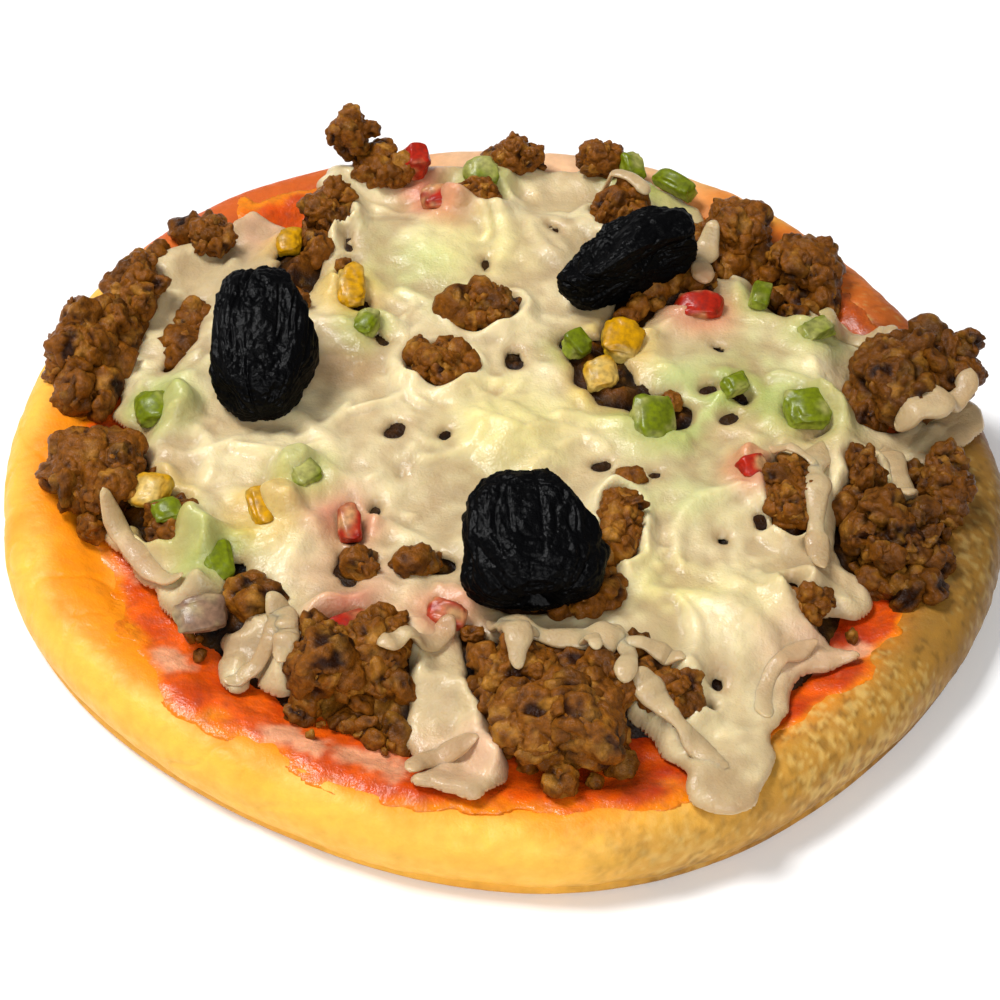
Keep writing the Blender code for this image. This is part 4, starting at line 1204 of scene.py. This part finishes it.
def make_finish(name, rough, bumps, mottle, subsurface=0.0, depth=(0.0, 0.0, 0.0), coat=0.0, wet=0.0, specular=0.5):
    """A material: the mesh's own tone, mottled by noise, with noise bumps and uneven gloss.

    rough is the least and most roughness. bumps are noise sizes and heights in millimetres. mottle is the noise
    size and how much it darkens. depth is the subsurface reach for red, green and blue in millimetres. wet is the
    roughness of the coat."""
    made = bpy.data.materials.new(f"{name}_food")
    made.use_nodes = True
    tree = made.node_tree
    shader = tree.nodes["Principled BSDF"]
    place = new_node(tree, "ShaderNodeTexCoord").outputs["Object"]
    tone = new_node(tree, "ShaderNodeAttribute", attribute_name="Tone").outputs["Color"]
    size, dark = mottle
    spots = new_node(tree, "ShaderNodeTexNoise", inputs={"Scale": 1.0 / (size * MM), "Detail": 4.0})
    link(tree, place, spots.inputs["Vector"])
    spread = new_node(tree, "ShaderNodeMapRange", inputs={1: 0.35, 2: 0.7, 3: 1.0, 4: 1.0 - dark})
    link(tree, spots.outputs["Fac"], spread.inputs[0])
    times = new_node(tree, "ShaderNodeVectorMath", operation="SCALE")
    link(tree, tone, times.inputs[0])
    link(tree, spread.outputs[0], times.inputs["Scale"])
    link(tree, times.outputs[0], shader.inputs["Base Color"])
    gloss = new_node(tree, "ShaderNodeMapRange", inputs={1: 0.3, 2: 0.7, 3: rough[0], 4: rough[1]})
    link(tree, spots.outputs["Fac"], gloss.inputs[0])
    link(tree, gloss.outputs[0], shader.inputs["Roughness"])
    normal = None
    for bump_size, height in bumps:
        waves_on = new_node(tree, "ShaderNodeTexNoise", inputs={"Scale": 1.0 / (bump_size * MM), "Detail": 3.0})
        link(tree, place, waves_on.inputs["Vector"])
        bump = new_node(tree, "ShaderNodeBump", inputs={"Strength": 1.0, "Distance": height * MM})
        link(tree, waves_on.outputs["Fac"], bump.inputs["Height"])
        if normal:
            link(tree, normal, bump.inputs["Normal"])
        normal = bump.outputs["Normal"]
    if normal:
        link(tree, normal, shader.inputs["Normal"])
        link(tree, normal, shader.inputs["Coat Normal"])
    shader.inputs["Specular IOR Level"].default_value = specular
    shader.inputs["Subsurface Weight"].default_value = subsurface
    shader.inputs["Subsurface Radius"].default_value = [reach * MM for reach in depth]
    shader.inputs["Subsurface Scale"].default_value = 1.0
    shader.inputs["Coat Weight"].default_value = coat
    shader.inputs["Coat Roughness"].default_value = wet
    return made


def make_finishes():
    make_finish("crust", (0.4, 0.65), ((0.9, 0.10), (0.3, 0.05)), (2.0, 0.14), 0.1, (1.2, 0.6, 0.2), specular=0.3)
    make_finish(
        "tomato_sauce", (0.2, 0.5), ((0.8, 0.15), (0.3, 0.06)), (1.5, 0.35), 0.1, (1.0, 0.3, 0.1), 0.25, 0.15, 0.3
    )
    make_finish("minced_meat", (0.25, 0.6), ((0.6, 0.25), (0.2, 0.10)), (0.8, 0.45), coat=0.06, wet=0.12, specular=0.12)
    make_finish(
        "cheese", (0.3, 0.55), ((1.3, 0.22), (0.35, 0.07)), (3.0, 0.12), 0.55, (2.0, 1.4, 0.8), 0.22, 0.12, 0.35
    )
    make_finish("olive", (0.4, 0.6), ((0.5, 0.12), (0.22, 0.05)), (0.6, 0.3), coat=0.09, wet=0.08, specular=0.02)
    for name in DICE:
        make_finish(name, (0.25, 0.5), ((0.8, 0.06),), (0.9, 0.45), coat=0.1, wet=0.12, specular=0.2)


def make_stage():
    """A wide pale floor, an even sky, two soft lights and the camera at the photograph's angle."""
    scene = bpy.context.scene
    floor_mesh = bpy.data.meshes.new("floor")
    corners = [(x * FLOOR_HALF, y * FLOOR_HALF, FLOOR_HEIGHT) for x, y in ((-1, -1), (1, -1), (1, 1), (-1, 1))]
    floor_mesh.from_pydata(corners, [], [(0, 1, 2, 3)])
    paper = bpy.data.materials.new("paper")
    paper.use_nodes = True
    paper.node_tree.nodes["Principled BSDF"].inputs["Base Color"].default_value = (0.98, 0.98, 0.98, 1)
    paper.node_tree.nodes["Principled BSDF"].inputs["Roughness"].default_value = 0.9
    floor_mesh.materials.append(paper)
    floor = bpy.data.objects.new("floor", floor_mesh)
    scene.collection.objects.link(floor)
    world = bpy.data.worlds.new("studio")
    world.use_nodes = True
    world.node_tree.nodes["Background"].inputs["Color"].default_value = (1.0, 1.0, 1.0, 1.0)
    world.node_tree.nodes["Background"].inputs["Strength"].default_value = SKY_STRENGTH
    scene.world = world
    for name, place, size, power in LIGHTS:
        lamp = bpy.data.lights.new(name, "AREA")
        lamp.energy, lamp.size = power, size
        light = bpy.data.objects.new(name, lamp)
        light.location = place
        light.rotation_euler = (-Vector(place)).to_track_quat("-Z", "Y").to_euler()
        scene.collection.objects.link(light)
    scene.view_settings.view_transform = "Standard"
    tilt, roll = math.radians(CAMERA_ELEVATION), math.radians(CAMERA_ROLL)
    back = Vector((0.0, -math.cos(tilt), math.sin(tilt)))
    across = Vector((1.0, 0.0, 0.0))
    up = back.cross(across)
    right = across * math.cos(roll) + up * math.sin(roll)
    above = up * math.cos(roll) - across * math.sin(roll)
    camera = bpy.data.objects.new("camera", bpy.data.cameras.new("camera"))
    camera.data.lens, camera.data.sensor_width = LENS, SENSOR
    turn = Matrix((right, above, back)).transposed().to_4x4()
    camera.matrix_world = Matrix.Translation(Vector(CAMERA_TARGET) + back * CAMERA_DISTANCE) @ turn
    scene.collection.objects.link(camera)
    scene.camera = camera


def length_property(name, description, default):
    return FloatProperty(name=name, description=description, default=default * MM, min=0.0, unit="LENGTH", precision=4)


def colour_property(name, description, colour):
    return FloatVectorProperty(
        name=name, description=description, default=linear(*colour), subtype="COLOR", min=0, max=1
    )


class PizzaSizes(bpy.types.PropertyGroup):
    """Sizes of the fine forms."""

    meat_grain: length_property("Meat grain", "Width of one grain of minced meat", 1.9)
    cheese_thickness: length_property("Cheese thickness", "Usual thickness of the melted sheet", 2.3)
    olive_wrinkle: length_property("Olive wrinkle", "Depth of the olives' wrinkles", 0.32)


class PizzaColours(bpy.types.PropertyGroup):
    """Colours of each food."""

    crust_pale: colour_property("Pale crust", "Lightly baked crust", (248, 186, 70))
    # partly toasted colour, partly painted shade on the side turned from the light
    crust_toasted_and_shaded: colour_property("Toasted crust", "Darker, floury side of the crust", (178, 128, 48))
    crust_oiled: colour_property("Oiled crust", "Crust stained by oil and sauce", (244, 142, 12))
    sauce_bright: colour_property("Bright sauce", "Thin tomato sauce", (236, 96, 12))
    sauce_deep: colour_property("Deep sauce", "Thicker tomato sauce", (182, 48, 4))
    sauce_smear: colour_property("Smears on the sauce", "Pale fat left on the sauce", (242, 176, 132))
    crust_back: colour_property("Back of the crust", "Rim stained by sauce at the back", (204, 92, 26))
    crust_peach: colour_property("Far rim", "Rim at the middle of the back", (232, 184, 140))
    crust_flour: colour_property("Floury crust", "Flour left on the toasted side", (226, 190, 110))
    # painted shade: the colour in the creases between the grains
    meat_crease_shade: colour_property("Meat creases", "Meat between the grains", (48, 20, 2))
    meat_brown: colour_property("Browned meat", "Meat on top of the grains", (132, 76, 14))
    meat_pale: colour_property("Pale meat", "Fatty or less browned meat", (176, 120, 42))
    cheese_cream: colour_property("Cheese", "Melted cheese", (226, 208, 162))
    cheese_rich: colour_property("Thick cheese", "Thicker yellow cheese", (228, 214, 144))
    cheese_green: colour_property("Cheese over greens", "Cheese over green pepper", (190, 200, 126))
    cheese_pink: colour_property("Cheese over sauce", "Cheese stained by sauce", (220, 170, 140))
    cheese_thin: colour_property("Thin cheese", "Cheese that lets the meat show", (172, 142, 102))
    olive_skin: colour_property("Olive skin", "Black olive skin", (4, 4, 5))
    olive_worn: colour_property("Worn olive skin", "Lighter parts of the skin", (8, 8, 8))
    green_pepper_skin: colour_property("Green pepper skin", "Outside of green pepper", (112, 124, 8))
    green_pepper_flesh: colour_property("Green pepper flesh", "Cut side of green pepper", (148, 160, 52))
    yellow_pepper_skin: colour_property("Yellow pepper skin", "Outside of yellow pepper", (200, 144, 0))
    yellow_pepper_flesh: colour_property("Yellow pepper flesh", "Cut side of yellow pepper", (208, 166, 20))
    red_pepper_skin: colour_property("Red pepper skin", "Outside of red pepper", (172, 34, 14))
    red_pepper_flesh: colour_property("Red pepper flesh", "Cut side of red pepper", (196, 56, 26))
    onion_skin: colour_property("Onion face", "Cooked onion", (136, 104, 82))
    onion_flesh: colour_property("Onion edge", "Cut side of the onion", (128, 92, 70))


class PIZZA_OT_finishes(bpy.types.Operator):
    """Make the materials of every food"""

    bl_idname = "pizza.finishes"
    bl_label = "Finishes"

    def execute(self, context):
        make_finishes()
        return {"FINISHED"}


class PIZZA_OT_crust(bpy.types.Operator):
    """Build the baked crust"""

    bl_idname = "pizza.crust"
    bl_label = "Crust"

    def execute(self, context):
        make_crust()
        return {"FINISHED"}


class PIZZA_OT_sauce(bpy.types.Operator):
    """Build the coat of tomato sauce"""

    bl_idname = "pizza.sauce"
    bl_label = "Tomato sauce"

    def execute(self, context):
        make_sauce()
        return {"FINISHED"}


class PIZZA_OT_meat(bpy.types.Operator):
    """Build the heap of minced meat, its clumps and the loose crumbs"""

    bl_idname = "pizza.meat"
    bl_label = "Minced meat"

    def execute(self, context):
        make_bed()
        for index, crumbs in enumerate(MEAT):
            make_clump(index, crumbs)
        make_heap_crumbs()
        make_loose_crumbs()
        return {"FINISHED"}


class PIZZA_OT_cheese(bpy.types.Operator):
    """Build the sheet of melted cheese"""

    bl_idname = "pizza.cheese"
    bl_label = "Cheese"

    def execute(self, context):
        make_cheese()
        return {"FINISHED"}


class PIZZA_OT_ropes(bpy.types.Operator):
    """Lay the strings of cheese over everything"""

    bl_idname = "pizza.ropes"
    bl_label = "Strings of cheese"

    def execute(self, context):
        make_ropes()
        return {"FINISHED"}


class PIZZA_OT_olives(bpy.types.Operator):
    """Build the black olives"""

    bl_idname = "pizza.olives"
    bl_label = "Olives"

    def execute(self, context):
        for index, olive in enumerate(OLIVES):
            make_olive(*olive, 700 + 10 * index)
        return {"FINISHED"}


class PIZZA_OT_dice(bpy.types.Operator):
    """Build the diced peppers and the onion"""

    bl_idname = "pizza.dice"
    bl_label = "Diced vegetables"

    def execute(self, context):
        seed = 800
        for finish, pieces in DICE.items():
            for index, (centre, size, turn) in enumerate(pieces):
                make_dice(finish, index, centre, size, turn, seed)
                seed += 7
        return {"FINISHED"}


class PIZZA_OT_stage(bpy.types.Operator):
    """Set the floor, the lights and the camera"""

    bl_idname = "pizza.stage"
    bl_label = "Stage"

    def execute(self, context):
        make_stage()
        return {"FINISHED"}


STEPS = (
    PIZZA_OT_finishes,
    PIZZA_OT_crust,
    PIZZA_OT_sauce,
    PIZZA_OT_meat,
    PIZZA_OT_cheese,
    PIZZA_OT_dice,
    PIZZA_OT_ropes,
    PIZZA_OT_olives,
    PIZZA_OT_stage,
)


class PIZZA_PT_panel(bpy.types.Panel):
    """Sizes, colours and building steps in the sidebar"""

    bl_idname = "PIZZA_PT_panel"
    bl_label = "Minced meat pizza"
    bl_space_type = "VIEW_3D"
    bl_region_type = "UI"
    bl_category = "Pizza"

    def draw(self, context):
        for group in (context.scene.pizza_sizes, context.scene.pizza_colours):
            for name in group.bl_rna.properties.keys():
                if name not in ("rna_type", "name"):
                    self.layout.prop(group, name)
        for step in STEPS:
            self.layout.operator(step.bl_idname)


def register():
    for item in (PizzaSizes, PizzaColours, *STEPS, PIZZA_PT_panel):
        bpy.utils.register_class(item)
    bpy.types.Scene.pizza_sizes = PointerProperty(type=PizzaSizes)
    bpy.types.Scene.pizza_colours = PointerProperty(type=PizzaColours)


def unregister():
    del bpy.types.Scene.pizza_sizes
    del bpy.types.Scene.pizza_colours
    for item in (PIZZA_PT_panel, *reversed(STEPS), PizzaColours, PizzaSizes):
        bpy.utils.unregister_class(item)


def main():
    register()
    for step in STEPS:
        group, name = step.bl_idname.split(".")
        if getattr(getattr(bpy.ops, group), name)() != {"FINISHED"}:
            raise RuntimeError(f"{step.bl_label} could not be built")


if __name__ == "__main__":
    main()
